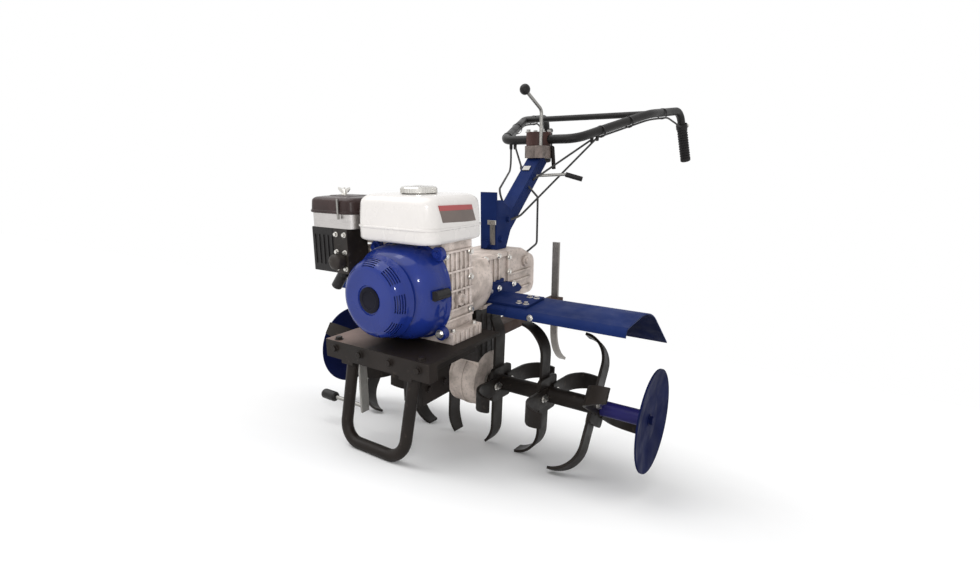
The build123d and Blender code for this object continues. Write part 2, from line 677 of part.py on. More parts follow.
arm_cables = [arm_cable(ARM_CABLE_LEFT), mirrored(arm_cable(ARM_CABLE_RIGHT))]
gear_cable_x = CASE_HALF - GEAR_CABLE_IN
gear_cable_y = CASE_REAR + SEAM_STEP + GEAR_CABLE_OUT
gear_cable = bent_tube((
    (COLUMN_HALF - CABLE_D, GEAR_CABLE_Y, GEAR_CABLE_Z), (gear_cable_x, gear_cable_y, GEAR_TURN_Z),
    (gear_cable_x, gear_cable_y, CASE_TOP), (gear_cable_x - CABLE_D, SLOPE_Y, SLOPE_REAR_Z)),
    (2 * CABLE_D, 2 * CABLE_D), CABLE_D) - column - gearbox_housing
gear_cable = gear_cable.solids().sort_by(SortBy.VOLUME)[-1]


# Fenders: arched sheets over the tines, each bolted to a bracket on the gearbox
def fender_sheet():
    """The left sheet: a front lip, a gentle top and a long rear slope."""
    line = FilletPolyline(
        (FENDER_FRONT_Y, FENDER_FRONT_Z - FENDER_LIP), (FENDER_FRONT_Y, FENDER_FRONT_Z),
        (FENDER_CREST_Y, FENDER_CREST_Z), (FENDER_REAR_Y, FENDER_REAR_Z),
        radius=(FENDER_LIP - FENDER_THICK, FENDER_CREST_R))
    section = trace(line, line_width=FENDER_THICK)
    return extrude(Plane.YZ.offset(FENDER_IN) * section, FENDER_OUT - FENDER_IN)


def fender_top(y):
    """Height of the sheet's upper face where it runs straight from the lip to the crest."""
    slope = (FENDER_CREST_Z - FENDER_FRONT_Z) / (FENDER_CREST_Y - FENDER_FRONT_Y)
    middle = FENDER_FRONT_Z + slope * (y - FENDER_FRONT_Y)
    return middle + FENDER_THICK / 2 * hypot(1, slope)


def angle_bracket():
    """The left angle plate: one flange on the case, one on the fender's top."""
    front = fender_top(BRACKET_FRONT)
    rear = fender_top(BRACKET_REAR)
    flat = ((BRACKET_FRONT, front), (BRACKET_REAR, rear), (BRACKET_REAR, rear + BRACKET_THICK),
            (BRACKET_FRONT, front + BRACKET_THICK))
    upright = ((BRACKET_FRONT, front), (BRACKET_REAR, rear), (BRACKET_REAR, rear + BRACKET_HIGH),
               (BRACKET_FRONT, front + BRACKET_HIGH))
    plate = side_profile(flat, CASE_HALF, BRACKET_OUT)
    return plate + side_profile(upright, CASE_HALF, CASE_HALF + BRACKET_THICK)


left_fender = fender_sheet()
left_fender_bracket = angle_bracket() - gearbox_housing

# Hitch bracket: an arm behind the gearbox with a socket for the depth stake and a cross bore
hitch_bracket = block(-HITCH_HALF, HITCH_HALF, LEG_REAR, HITCH_REAR, HITCH_LOW, HITCH_HIGH)
hitch_bracket -= across(HITCH_BORE / 2, -CASE_HALF, CASE_HALF, HITCH_BORE_Y,
                        (HITCH_LOW + HITCH_HIGH) / 2)
hitch_bracket -= block(-STAKE_WIDE / 2 - RUNNING_GAP, STAKE_WIDE / 2 + RUNNING_GAP,
                       STAKE_Y - STAKE_THICK / 2 - RUNNING_GAP,
                       STAKE_Y + STAKE_THICK / 2 + RUNNING_GAP, HITCH_LOW, HITCH_HIGH)
hitch_bracket -= gearbox_housing


def depth_stake():
    """A flat bar with a hooked foot that trails to the rear."""
    shank = Line((STAKE_Y, STAKE_TOP), (STAKE_Y, STAKE_FOOT_Z + STAKE_HOOK_R))
    hook = JernArc(start=shank @ 1, tangent=shank % 1, radius=STAKE_HOOK_R, arc_size=STAKE_HOOK)
    flat = trace(shank + hook, line_width=STAKE_THICK)
    return extrude(Plane.YZ * flat, STAKE_WIDE / 2, both=True)


stake = depth_stake()

# Front lever: a flat bar under the bed, a cross rod and a grip
lever_x = FRONT_LEVER_IN - BED_HALF
lever_rear = FRONT_LEVER_Y + FRONT_LEVER_WIDE
front_lever = block(lever_x, lever_x + FRONT_LEVER_THICK, FRONT_LEVER_Y, lever_rear,
                    FRONT_LEVER_FOOT, BED_TOP - BED_PLATE)
lever_rod_y = (FRONT_LEVER_Y + lever_rear) / 2
lever_rod_z = FRONT_LEVER_FOOT + FRONT_LEVER_WIDE / 2
rod_end = lever_x - FRONT_ROD_LONG
front_lever += rod((lever_x, lever_rod_y, lever_rod_z), (rod_end, lever_rod_y, lever_rod_z), FRONT_ROD_D)
front_lever_grip = Pos(rod_end - FRONT_GRIP_LONG / 2, lever_rod_y, lever_rod_z) * Rot(Y=90) * (
    fillet(Cylinder(FRONT_GRIP_D / 2, FRONT_GRIP_LONG).edges(), FRONT_GRIP_D / 3))

# Parking: the rotor turns freely, so only the body tips, nose down, until the hoop is as low as
# the tine tips
rotor_drop = -left_tines.bounding_box().min.Z
hoop_reach = hypot(HOOP_FOOT_Y, HOOP_FOOT_Z)
park_angle = degrees(asin((rotor_drop - HOOP_D / 2) / hoop_reach)
                     - atan2(-HOOP_FOOT_Z, -HOOP_FOOT_Y))

rotor_pieces = {
    "axle_shaft": axle_shaft,
    "left_tines": left_tines,
    "right_tines": mirrored(left_tines),
    "left_disc": left_disc,
    "right_disc": mirrored(left_disc),
}
level_pieces = {
    "gearbox_housing": gearbox_housing,
    "clutch_housing": clutch_housing,
    "engine_bed": engine_bed,
    "bumper": bumper,
    "engine_block": engine_block,
    "cylinder_head": cylinder_head,
    "fan_cover": fan_cover,
    "starter_dome": starter_dome,
    "starter_grip": starter_grip,
    "fuel_tank": fuel_tank,
    "fuel_cap": fuel_cap,
    "air_cleaner": air_cleaner,
    "air_cleaner_base": air_cleaner_base,
    "carburettor": carburettor,
    "intake_elbow": intake_elbow,
    "inlet_stub": inlet_stub,
    "muffler": muffler,
    "column_foot": column_foot,
    "column": column,
    "column_head": column_head,
    "gear_lever": gear_lever,
    "gear_knob": gear_knob,
    "side_lever": side_lever,
    "side_lever_grip": side_lever_grip,
    "lock_lever": lock_lever,
    "control_cables": Compound(control_cables),
    "gear_cable": gear_cable,
    "arm_cables": Compound(arm_cables),
    "handlebar": handlebar,
    "handlebar_clamp": handlebar_clamp,
    "left_grip": left_grip,
    "right_grip": mirrored(left_grip),
    "left_hand_lever": left_hand_lever,
    "right_hand_lever": mirrored(left_hand_lever),
    "left_fender": left_fender,
    "right_fender": mirrored(left_fender),
    "left_fender_bracket": left_fender_bracket,
    "right_fender_bracket": mirrored(left_fender_bracket),
    "hitch_bracket": hitch_bracket,
    "stake": stake,
    "front_lever": front_lever,
    "front_lever_grip": front_lever_grip,
}
tip = Rot(X=park_angle)
parked = dict(rotor_pieces)
for name, shape in level_pieces.items():
    parked[name] = tip * shape

# The origin is under the middle of the parked machine, on the ground
corners = [shape.bounding_box() for shape in parked.values()]
middle_x = (min(c.min.X for c in corners) + max(c.max.X for c in corners)) / 2
middle_y = (min(c.min.Y for c in corners) + max(c.max.Y for c in corners)) / 2
ground = min(c.min.Z for c in corners)
to_origin = Pos(-middle_x, -middle_y, -ground)


def report_point(label, x, y, z):
    """Print where a point of the level machine lies once it is parked."""
    place = (to_origin * tip * Pos(x, y, z)).position
    print(label, round(place.X, 2), round(place.Y, 2), round(place.Z, 2))


for name, shape in parked.items():
    export_step(to_origin * shape, os.path.join("parts", name + ".step"))

print("park angle", round(park_angle, 4))
report_point("axle", 0, 0, 0)
report_point("swivel", 0, PIVOT_Y, HEAD_RING_TOP)
report_point("stake", 0, STAKE_Y, HITCH_HIGH)
report_point("hitch bore", HITCH_HALF, HITCH_BORE_Y, (HITCH_LOW + HITCH_HIGH) / 2)
report_point("left grip end", BAR_END_HALF, BAR_END_Y, BAR_END_Z)
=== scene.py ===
import json
from math import atan2, cos, pi, radians, sin

import bmesh
import bpy
from mathutils import Matrix, Vector


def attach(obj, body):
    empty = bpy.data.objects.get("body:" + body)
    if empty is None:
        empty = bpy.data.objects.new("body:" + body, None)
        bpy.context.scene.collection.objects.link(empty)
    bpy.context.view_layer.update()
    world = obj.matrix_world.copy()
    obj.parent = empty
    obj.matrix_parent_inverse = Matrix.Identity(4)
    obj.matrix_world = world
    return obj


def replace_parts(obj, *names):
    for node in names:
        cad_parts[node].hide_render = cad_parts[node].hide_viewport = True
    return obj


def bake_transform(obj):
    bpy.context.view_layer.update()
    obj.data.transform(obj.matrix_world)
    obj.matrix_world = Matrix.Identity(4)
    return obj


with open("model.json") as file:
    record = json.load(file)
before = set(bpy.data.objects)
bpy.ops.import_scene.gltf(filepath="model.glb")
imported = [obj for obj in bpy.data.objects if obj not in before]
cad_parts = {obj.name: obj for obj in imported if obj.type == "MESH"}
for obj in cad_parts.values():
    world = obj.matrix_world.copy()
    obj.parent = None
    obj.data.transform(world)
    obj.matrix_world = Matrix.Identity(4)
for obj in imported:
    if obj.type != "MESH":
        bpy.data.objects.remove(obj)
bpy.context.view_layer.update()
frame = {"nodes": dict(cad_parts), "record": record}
nodes = frame["nodes"]

# The parked machine leans nose down on its bumper and tines. Most pieces are easier to lay out on the
# level machine, whose origin is the rotor's axle, so meshes are made there in metres and then leaned.
joints = {joint["name"]: joint for joint in frame["record"]["behaviour"]["joints"]}
swivel_axis = joints["handlebar_swivel"]["axis"]
park_angle = atan2(-swivel_axis[1], swivel_axis[2])
axle = Vector(joints["rotor_spin"]["pos_m"])
level = Matrix.Translation(axle) @ Matrix.Rotation(park_angle, 4, "X")


# Tines: forged steel blades bolted to square hub plates, under thin black-brown paint with dusty streaks,
# scuffs and worn edges. The helpers below start a finish and add its clouding, colours and relief.
def feed(tree, target, value):
    """Link a socket to an input, or set the input to a fixed value."""
    if isinstance(value, bpy.types.NodeSocket):
        tree.links.new(value, target)
    else:
        target.default_value = value


def fill(tree, node, inputs):
    """Feed a node's inputs by name."""
    for name, value in inputs.items():
        feed(tree, node.inputs[name], value)
    return node


def added(tree, kind, inputs):
    """A new node with its inputs fed by name."""
    return fill(tree, tree.nodes.new(kind), inputs)


def start_finish(name, rough, metal=0.0, shine=0.5):
    """A new material with its shader and object coordinates."""
    finish = bpy.data.materials.new(name)
    finish.use_nodes = True
    tree = finish.node_tree
    shader = fill(tree, tree.nodes["Principled BSDF"],
                  {"Roughness": rough, "Metallic": metal, "Specular IOR Level": shine})
    return finish, tree, shader, tree.nodes.new("ShaderNodeTexCoord").outputs["Object"]


def noise(tree, coords, scale, detail=4.0, stretch=None):
    """Cloud noise on the object's own coordinates, stretched along an axis if asked."""
    if stretch:
        coords = added(tree, "ShaderNodeMapping", {"Scale": stretch, "Vector": coords}).outputs["Vector"]
    cloud = added(tree, "ShaderNodeTexNoise", {"Scale": scale, "Detail": detail, "Vector": coords})
    return cloud.outputs["Fac"]


def ramp(tree, value, *stops):
    """Turn a value into a colour or another value through (place, colour or value) stops."""
    node = added(tree, "ShaderNodeValToRGB", {"Fac": value})
    for element, (place, tone) in zip(node.color_ramp.elements, stops):
        element.position = place
        element.color = (tone, tone, tone, 1) if isinstance(tone, float) else (*tone, 1)
    return node.outputs["Color"]


def mix(tree, share, first, second):
    """Blend two colours by a value or a fixed share."""
    node = tree.nodes.new("ShaderNodeMix")
    node.data_type = "RGBA"
    for socket, value in (("Factor_Float", share), ("A_Color", first), ("B_Color", second)):
        target = next(entry for entry in node.inputs if entry.identifier == socket)
        feed(tree, target, (*value, 1) if isinstance(value, tuple) else value)
    return next(entry for entry in node.outputs if entry.identifier == "Result_Color")


def relief(tree, shader, height, strength, depth, edge=0.0):
    """Raise the surface by a height value, over edges that look rounded by a small radius."""
    node = added(tree, "ShaderNodeBump", {"Strength": strength, "Distance": depth, "Height": height})
    if edge:
        bevel = added(tree, "ShaderNodeBevel", {"Radius": edge})
        bevel.samples = 4
        fill(tree, node, {"Normal": bevel.outputs["Normal"]})
    fill(tree, shader, {"Normal": node.outputs["Normal"]})


def shaded(colour, share):
    """A colour made darker or lighter by a share."""
    return tuple(channel * share for channel in colour)


def painted_steel(name, colour, rough, coat=0.0, mottle=0.35, edge=0.0015, scuff=None, shine=0.5):
    """Sprayed paint: slow clouding, orange peel, uneven gloss and a few scuffs."""
    finish, tree, shader, coords = start_finish(name, rough, shine=shine)
    base = ramp(tree, noise(tree, coords, 9.0, 5.0),
                (0.3, shaded(colour, 1 - mottle)), (0.7, shaded(colour, 1 + mottle)))
    if scuff:
        marks = ramp(tree, noise(tree, coords, 70.0, 8.0), (0.62, 0.0), (0.74, 0.55))
        base = mix(tree, marks, base, scuff)
    wear = ramp(tree, noise(tree, coords, 24.0, 6.0), (0.3, rough * 0.8), (0.75, min(1.0, rough * 1.3)))
    fill(tree, shader, {"Base Color": base, "Roughness": wear, "Coat Weight": coat, "Coat Roughness": 0.06})
    relief(tree, shader, noise(tree, coords, 420.0, 2.0), 0.12, 0.0006, edge)
    return finish


def dress(finish, *names):
    """Give whole CAD nodes a finish."""
    for name in names:
        nodes[name].data.materials.clear()
        nodes[name].data.materials.append(finish)


def recoat(node, finish, chosen):
    """Add a second finish to a CAD node, on the faces that a test chooses."""
    mesh = nodes[node].data
    mesh.materials.append(finish)
    for face in mesh.polygons:
        if chosen(face):
            face.material_index = 1


rotor_paint = painted_steel("rotor_paint", (0.014, 0.0105, 0.0085), 0.5, mottle=0.45, edge=0.0018,
                            scuff=(0.06, 0.046, 0.034), shine=0.22)
dress(rotor_paint, "left_tines", "right_tines")


# Axle shaft: a drawn steel bar through the gearbox's foot, turned and left bare. Its finish has fine lines
# along one axis and cloudy tarnish, and also serves the zinc plating of the bolts.
def bare_metal(name, colour, rough, stretch, streak=0.25):
    """Plain or plated metal with fine drawn lines along one axis and cloudy tarnish."""
    finish, tree, shader, coords = start_finish(name, rough, 1.0)
    dark = shaded(colour, 1 - streak)
    lines = noise(tree, coords, 60.0, 6.0, stretch)
    base = mix(tree, 0.35, ramp(tree, lines, (0.3, dark), (0.7, colour)),
               ramp(tree, noise(tree, coords, 14.0), (0.35, dark), (0.65, colour)))
    wear = ramp(tree, lines, (0.3, rough * 0.75), (0.7, rough * 1.25))
    fill(tree, shader, {"Base Color": base, "Roughness": wear})
    relief(tree, shader, lines, 0.08, 0.0004, 0.0008)
    return finish


shaft_steel = bare_metal("shaft_steel", (0.46, 0.45, 0.43), 0.38, (1.0, 30.0, 30.0))
zinc = bare_metal("zinc_bolts", (0.74, 0.72, 0.68), 0.3, (12.0, 12.0, 3.0), 0.18)
dress(shaft_steel, "axle_shaft")


# Bolts hold the tines to the hubs, the covers to the castings and the sheets to their brackets. They are
# steel, most of them zinc plated. One tree stands a hexagon head on a washer at each point, as it faces.
def start_tree(name, sizes):
    """A geometry tree that takes points, named sizes and a finish."""
    tree = bpy.data.node_groups.new(name, "GeometryNodeTree")
    add = tree.interface.new_socket
    add("Points", in_out="INPUT", socket_type="NodeSocketGeometry")
    for size, start in sizes.items():
        kind = "NodeSocketFloat" if isinstance(start, float) else "NodeSocketVector"
        add(size, in_out="INPUT", socket_type=kind).default_value = start
    add("Finish", in_out="INPUT", socket_type="NodeSocketMaterial")
    add("Pieces", in_out="OUTPUT", socket_type="NodeSocketGeometry")
    return tree, tree.nodes.new("NodeGroupInput").outputs


def worked(tree, kind, operation, *values):
    """The outputs of a math node on sockets or fixed values."""
    node = tree.nodes.new(kind)
    node.operation = operation
    for target, value in zip(node.inputs, values):
        feed(tree, target, value)
    return node.outputs


def times(tree, first, second):
    """The product of two values."""
    return worked(tree, "ShaderNodeMath", "MULTIPLY", first, second)["Value"]


def carried(tree, name):
    """The vector of that name that each point carries."""
    vector = tree.nodes.new("GeometryNodeInputNamedAttribute")
    vector.data_type = "FLOAT_VECTOR"
    vector.inputs["Name"].default_value = name
    return vector.outputs["Attribute"]


def along_facing(tree):
    """The turn that stands a shape along its point's facing."""
    aim = added(tree, "FunctionNodeAlignRotationToVector", {"Vector": carried(tree, "facing")})
    aim.axis = "Z"
    return aim.outputs["Rotation"]


def stand_on_points(tree, given, shape, turn):
    """Stand a shape on every point, turned, as one real mesh in the finish."""
    stand = added(tree, "GeometryNodeInstanceOnPoints",
                  {"Points": given["Points"], "Instance": shape, "Rotation": turn})
    real = added(tree, "GeometryNodeRealizeInstances", {"Geometry": stand.outputs["Instances"]})
    coat = added(tree, "GeometryNodeSetMaterial",
                 {"Geometry": real.outputs["Geometry"], "Material": given["Finish"]})
    added(tree, "NodeGroupOutput", {"Pieces": coat.outputs["Geometry"]})
    return tree


HEAD_LIFT = 0.62        # share of the head's height by which its middle stands off the sheet
WASHER_RADIUS = 0.68    # share of the size across corners
WASHER_THICK = 0.36     # share of the head's height


def bolt_tree():
    """Hexagon heads and washers on points that carry a facing."""
    tree, given = start_tree("bolt_heads", {"Across Corners": 0.015, "Head Height": 0.006})
    across, height = given["Across Corners"], given["Head Height"]
    head = added(tree, "GeometryNodeMeshCylinder",
                 {"Vertices": 6, "Radius": times(tree, across, 0.5), "Depth": height})
    up = added(tree, "ShaderNodeCombineXYZ", {"Z": times(tree, height, HEAD_LIFT)})
    lifted = added(tree, "GeometryNodeTransform",
                   {"Geometry": head.outputs["Mesh"], "Translation": up.outputs["Vector"]})
    washer = added(tree, "GeometryNodeMeshCylinder",
                   {"Vertices": 18, "Radius": times(tree, across, WASHER_RADIUS),
                    "Depth": times(tree, height, WASHER_THICK)})
    bolt = added(tree, "GeometryNodeJoinGeometry", {"Geometry": lifted.outputs["Geometry"]})
    fill(tree, bolt, {"Geometry": washer.outputs["Mesh"]})
    return stand_on_points(tree, given, bolt.outputs["Geometry"], along_facing(tree))


def show(name, mesh, finish=None):
    """Put a mesh that is already in its place into the scene."""
    piece = bpy.data.objects.new(name, mesh)
    bpy.context.scene.collection.objects.link(piece)
    if finish:
        mesh.materials.clear()
        mesh.materials.append(finish)
    return piece


def grow(name, mesh, tree, sizes):
    """Run a geometry tree on a mesh and keep the result as a plain mesh object."""
    seed = show(name + "_seed", mesh)
    made = seed.modifiers.new("made", "NODES")
    made.node_group = tree
    for entry in tree.interface.items_tree:
        if entry.in_out == "INPUT" and entry.name in sizes:
            made[entry.identifier] = sizes[entry.name]
    graph = bpy.context.evaluated_depsgraph_get()
    plain = bpy.data.meshes.new_from_object(seed.evaluated_get(graph), depsgraph=graph)
    seed.modifiers.remove(made)
    bpy.data.objects.remove(seed)
    return show(name, plain)


def points_mesh(name, points, value, vectors):
    """A mesh of bare points that each carry a named vector."""
    mesh = bpy.data.meshes.new(name)
    mesh.from_pydata(points, [], [])
    for entry, vector in zip(mesh.attributes.new(value, "FLOAT_VECTOR", "POINT").data, vectors):
        entry.vector = vector
    return mesh


def faced_points(name, places, frame_of=level):
    """A mesh of points, each with the way that it faces, from (point, way) places."""
    points = [frame_of @ Vector(point) for point, _ in places]
    return points_mesh(name, points, "facing", [frame_of.to_3x3() @ Vector(way) for _, way in places])


bolt_heads = bolt_tree()


def bolts(name, body, places, across=0.015, height=0.006, finish=zinc, frame_of=level):
    """Bolts at (point, facing) places of the level machine, riding on a body."""
    sizes = {"Across Corners": across, "Head Height": height, "Finish": finish}
    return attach(grow(name, faced_points(name, places, frame_of), bolt_heads, sizes), body)


HUB_X = 0.082
HUB_PITCH = 0.142
HUB_PHASES = (-15, -15, 15)
HUB_BOLT_RADII = (0.028, 0.039)
TINES_PER_HUB = 4
TINE_FACE = 0.0118
rotor_frame = Matrix.Translation(axle)
hub_bolts = []
for side in (-1, 1):
    for hub, phase in enumerate(HUB_PHASES):
        for tine in range(TINES_PER_HUB):
            face = -1 if tine % 2 == 0 else 1
            x = side * (HUB_X + hub * HUB_PITCH + face * TINE_FACE)
            turned = radians(-phase - 360 / TINES_PER_HUB * tine)
            for radius in HUB_BOLT_RADII:
                place = (x, radius * sin(turned), -radius * cos(turned))
                hub_bolts.append((place, (side * face, 0, 0)))
bolts("hub_bolts", "rotor", hub_bolts, across=0.014, height=0.007, frame_of=rotor_frame)

# End discs: dished sheet steel that keeps the rotor off the crop, in dark blue paint. The welded stub
# tube that carries each one is painted a brighter violet blue: painted light, as if lit from above.
disc_paint = painted_steel("disc_paint", (0.0042, 0.0075, 0.044), 0.6, mottle=0.25, edge=0.0012,
                           scuff=(0.010, 0.015, 0.055), shine=0.04)
# The stub's brighter blue is the disc's own paint with painted light from above.
lit_stub_paint = painted_steel("lit_stub_paint", (0.015, 0.013, 0.105), 0.4, mottle=0.25, edge=0.0012, shine=0.2)
DISC_PLATE_X = 0.483
DISC_BOLT_X = 0.494
for side, sign in (("left", 1), ("right", -1)):
    dress(disc_paint, side + "_disc")
    recoat(side + "_disc", lit_stub_paint, lambda face: abs(face.center.x) < DISC_PLATE_X)
    bolts(side + "_disc_bolts", "rotor", [((sign * DISC_BOLT_X, 0, 0), (sign, 0, 0))], across=0.020,
          height=0.008, finish=disc_paint, frame_of=rotor_frame)


# Gearbox: a two-half casting in bare aluminium, sand-grained and warm grey, darker in its corners with
# painted shade and dirt, with ribs and a bolted joint. Its leg down to the axle is painted black like the
# bed.
def spread(tree, value, low, high):
    """How far a value has gone from low to high, as 0 to 1."""
    node = added(tree, "ShaderNodeMapRange", {"From Min": low, "From Max": high, "Value": value})
    return node.outputs["Result"]


def cast_alloy(name, colour, shade, paint=None, bare_reach=0.0):
    """Sand-cast metal: coarse grain, cloudy oxide, painted shade and dirt in the hollows, and paint far from
    the axle.
    """
    finish, tree, shader, coords = start_finish(name, 0.6, 0.1)
    base = ramp(tree, noise(tree, coords, 26.0, 8.0), (0.32, shade), (0.62, colour))
    pits = ramp(tree, noise(tree, coords, 180.0, 3.0), (0.25, 0.5), (0.45, 0.0))
    base = mix(tree, pits, base, shaded(shade, 0.45))
    # Ambient occlusion darkens the hollows towards dark brown: painted shade, with dirt there too.
    hollow = added(tree, "ShaderNodeAmbientOcclusion", {"Distance": 0.02})
    hollow.samples = 4
    grime_and_shade = ramp(tree, hollow.outputs["AO"], (0.3, 0.6), (0.8, 0.0))
    base = mix(tree, grime_and_shade, base, (0.09, 0.07, 0.055))
    if paint:
        away = worked(tree, "ShaderNodeVectorMath", "SUBTRACT", coords, axle)["Vector"]
        flat = worked(tree, "ShaderNodeVectorMath", "MULTIPLY", away, (0, 1, 1))["Vector"]
        far = worked(tree, "ShaderNodeVectorMath", "LENGTH", flat)["Value"]
        base = mix(tree, spread(tree, far, bare_reach, bare_reach + 0.001), base, paint)
    wear = ramp(tree, noise(tree, coords, 90.0), (0.3, 0.42), (0.7, 0.68))
    fill(tree, shader, {"Base Color": base, "Roughness": wear})
    relief(tree, shader, noise(tree, coords, 520.0, 3.0), 0.35, 0.0008, 0.002)
    return finish


def rib_tree():
    """Bars on points that carry their turn."""
    tree, given = start_tree("cast_ribs", {"Rib Size": (0.006, 0.006, 0.1)})
    bar = added(tree, "GeometryNodeMeshCube", {"Size": given["Rib Size"]})
    return stand_on_points(tree, given, bar.outputs["Mesh"], carried(tree, "turn"))


cast_ribs = rib_tree()


def ribs(name, points, size, finish, turns=None):
    """Bars centred on points of the level machine, each turned by its own angles, on the chassis."""
    mesh = points_mesh(name, points, "turn", turns or [(0, 0, 0)] * len(points))
    piece = grow(name, mesh, cast_ribs, {"Rib Size": size, "Finish": finish})
    piece.data.transform(level)
    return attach(piece, "chassis")


GEARBOX_GREY = (0.71, 0.61, 0.545)
GEARBOX_SHADE = (0.41, 0.345, 0.30)
FRAME_BLACK = (0.0125, 0.0088, 0.007)
AXLE_BARE_R = 0.079
LEG_HALF = 0.042
LEG_SLACK = 0.001
LEG_TOP = 0.205
CASE_HALF = 0.060
CASE_TOP = 0.346
CASE_JOINT = 0.066
gearbox_alloy = cast_alloy("gearbox_alloy", GEARBOX_GREY, GEARBOX_SHADE)
leg_alloy = cast_alloy("leg_alloy", GEARBOX_GREY, GEARBOX_SHADE, FRAME_BLACK, AXLE_BARE_R)
dress(gearbox_alloy, "gearbox_housing", "clutch_housing")
from_level = level.inverted()


def on_leg(face):
    """Whether a face of the gearbox is on its leg."""
    middle = from_level @ face.center
    return middle.z < LEG_TOP and abs(middle.x) < LEG_HALF + LEG_SLACK


recoat("gearbox_housing", leg_alloy, on_leg)
leg_ribs = [(side * LEG_HALF, y, 0.135) for side in (-1, 1) for y in (-0.030, -0.006, 0.018)]
ribs("leg_ribs", leg_ribs, (0.003, 0.006, 0.12), leg_alloy)
side_ribs = [(side * CASE_HALF, y, 0.300) for side in (-1, 1) for y in (-0.046, -0.024, -0.002, 0.020)]
ribs("side_ribs", side_ribs, (0.008, 0.005, 0.086), gearbox_alloy)
flat_ribs = [(side * CASE_HALF, 0.132, z) for side in (-1, 1) for z in (0.238, 0.262, 0.286)]
ribs("flat_ribs", flat_ribs, (0.009, 0.120, 0.006), gearbox_alloy)
case_edges = [(side * CASE_HALF, 0, z) for side in (-1, 1) for z in (0.222, CASE_TOP)]
ribs("case_edges", case_edges, (0.012, 0.116, 0.010), gearbox_alloy)
case_bolts = []
for side in (-1, 1):
    out = (side, 0, 0)
    case_bolts += [((side * 0.005, y, 0.2105), out) for y in (0.04, 0.1, 0.16, 0.21)]
    case_bolts += [((side * CASE_JOINT, CASE_JOINT, z), out) for z in (0.296, 0.336)]
    case_bolts += [((side * CASE_JOINT, y, CASE_TOP), out) for y in (-0.048, 0.014)]
bolts("case_bolts", "chassis", case_bolts, across=0.011, height=0.005)


# Axle case: the round foot of the same casting, with a rolled rim and left unpainted, and a threaded oil
# level plug on each side of the gearbox. These turned pieces are spun from their outlines.
def skin(name, rows, caps=True):
    """Join rows of level points, each as long as the next, into one leaned skin."""
    mesh = bmesh.new()
    rings = [[mesh.verts.new(level @ Vector(point)) for point in row] for row in rows]
    for first, second in zip(rings, rings[1:]):
        for here in range(len(first)):
            after = (here + 1) % len(first)
            mesh.faces.new((first[here], first[after], second[after], second[here]))
    if caps:
        mesh.faces.new(rings[0][::-1])
        mesh.faces.new(rings[-1])
    bmesh.ops.recalc_face_normals(mesh, faces=mesh.faces)
    plain = bpy.data.meshes.new(name)
    mesh.to_mesh(plain)
    mesh.free()
    return plain


def lathe(name, outline, segments, way, centre, caps=True):
    """Spin (along, radius) points about a line of the level machine."""
    turn = Vector(way).normalized().to_track_quat("Z", "Y").to_matrix().to_4x4()
    put = Matrix.Translation(Vector(centre)) @ turn
    angles = [2 * pi * number / segments for number in range(segments)]
    rows = [[put @ Vector((radius * cos(angle), radius * sin(angle), along)) for angle in angles]
            for along, radius in outline]
    return skin(name, rows, caps)


def soften(mesh, angle=0.6):
    """Smooth shading that keeps edges sharper than an angle."""
    mesh.polygons.foreach_set("use_smooth", [True] * len(mesh.polygons))
    mesh.set_sharp_from_angle(angle=angle)
    return mesh


def turned_piece(name, body, finish, outline, segments, way, centre, caps=True):
    """A spun piece with soft edges, riding on a body."""
    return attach(show(name, soften(lathe(name, outline, segments, way, centre, caps)), finish), body)


BARREL_R = 0.0765
barrel_outline = ((-0.0425, 0.066), (-0.0425, 0.073), (-0.041, 0.075), (-0.035, 0.075), (-0.033, 0.0735),
                  (-0.031, 0.0735), (-0.024, BARREL_R - 0.0005), (-0.010, BARREL_R), (0.010, BARREL_R),
                  (0.024, BARREL_R - 0.0005), (0.034, 0.0735), (0.040, 0.070), (0.0425, 0.066))
turned_piece("axle_barrel", "chassis", gearbox_alloy, barrel_outline, 72, (1, 0, 0), (0, 0, 0), False)
boss_outline = ((0, 0.015), (0.006, 0.015), (0.008, 0.013), (0.008, 0.008), (0.012, 0.008), (0.012, 0.0001))
for side in (-1, 1):
    turned_piece("level_boss_%d" % (side + 1), "chassis", gearbox_alloy, boss_outline, 28, (side, 0, 0),
                 (side * CASE_HALF, 0.160, 0.312))


# Engine bed: a folded black plate on two rails, with a front apron and a box below its left side. The
# hoop under it is bent tube and is what the parked machine leans on. The plate's top carries dust and a
# painted pool of light on its right side.
def level_box(node):
    """A CAD node's lowest and highest corners on the level machine."""
    points = [from_level @ vertex.co for vertex in nodes[node].data.vertices]
    low = Vector([min(point[axis] for point in points) for axis in range(3)])
    high = Vector([max(point[axis] for point in points) for axis in range(3)])
    return low, high


def lit_dusty_plate(name, paint, dust, right, left):
    """Black plate with dust and a painted pool of light that fade out from the right side to the left."""
    finish, tree, shader, coords = start_finish(name, 0.6, shine=0.2)
    split = added(tree, "ShaderNodeSeparateXYZ", {"Vector": coords})
    patches = ramp(tree, noise(tree, coords, 14.0, 7.0), (0.25, 0.45), (0.7, 1.0))
    share = times(tree, spread(tree, split.outputs["X"], left, right), patches)
    fill(tree, shader, {"Base Color": mix(tree, share, paint, dust)})
    relief(tree, shader, noise(tree, coords, 300.0, 4.0), 0.2, 0.0006, 0.002)
    return finish


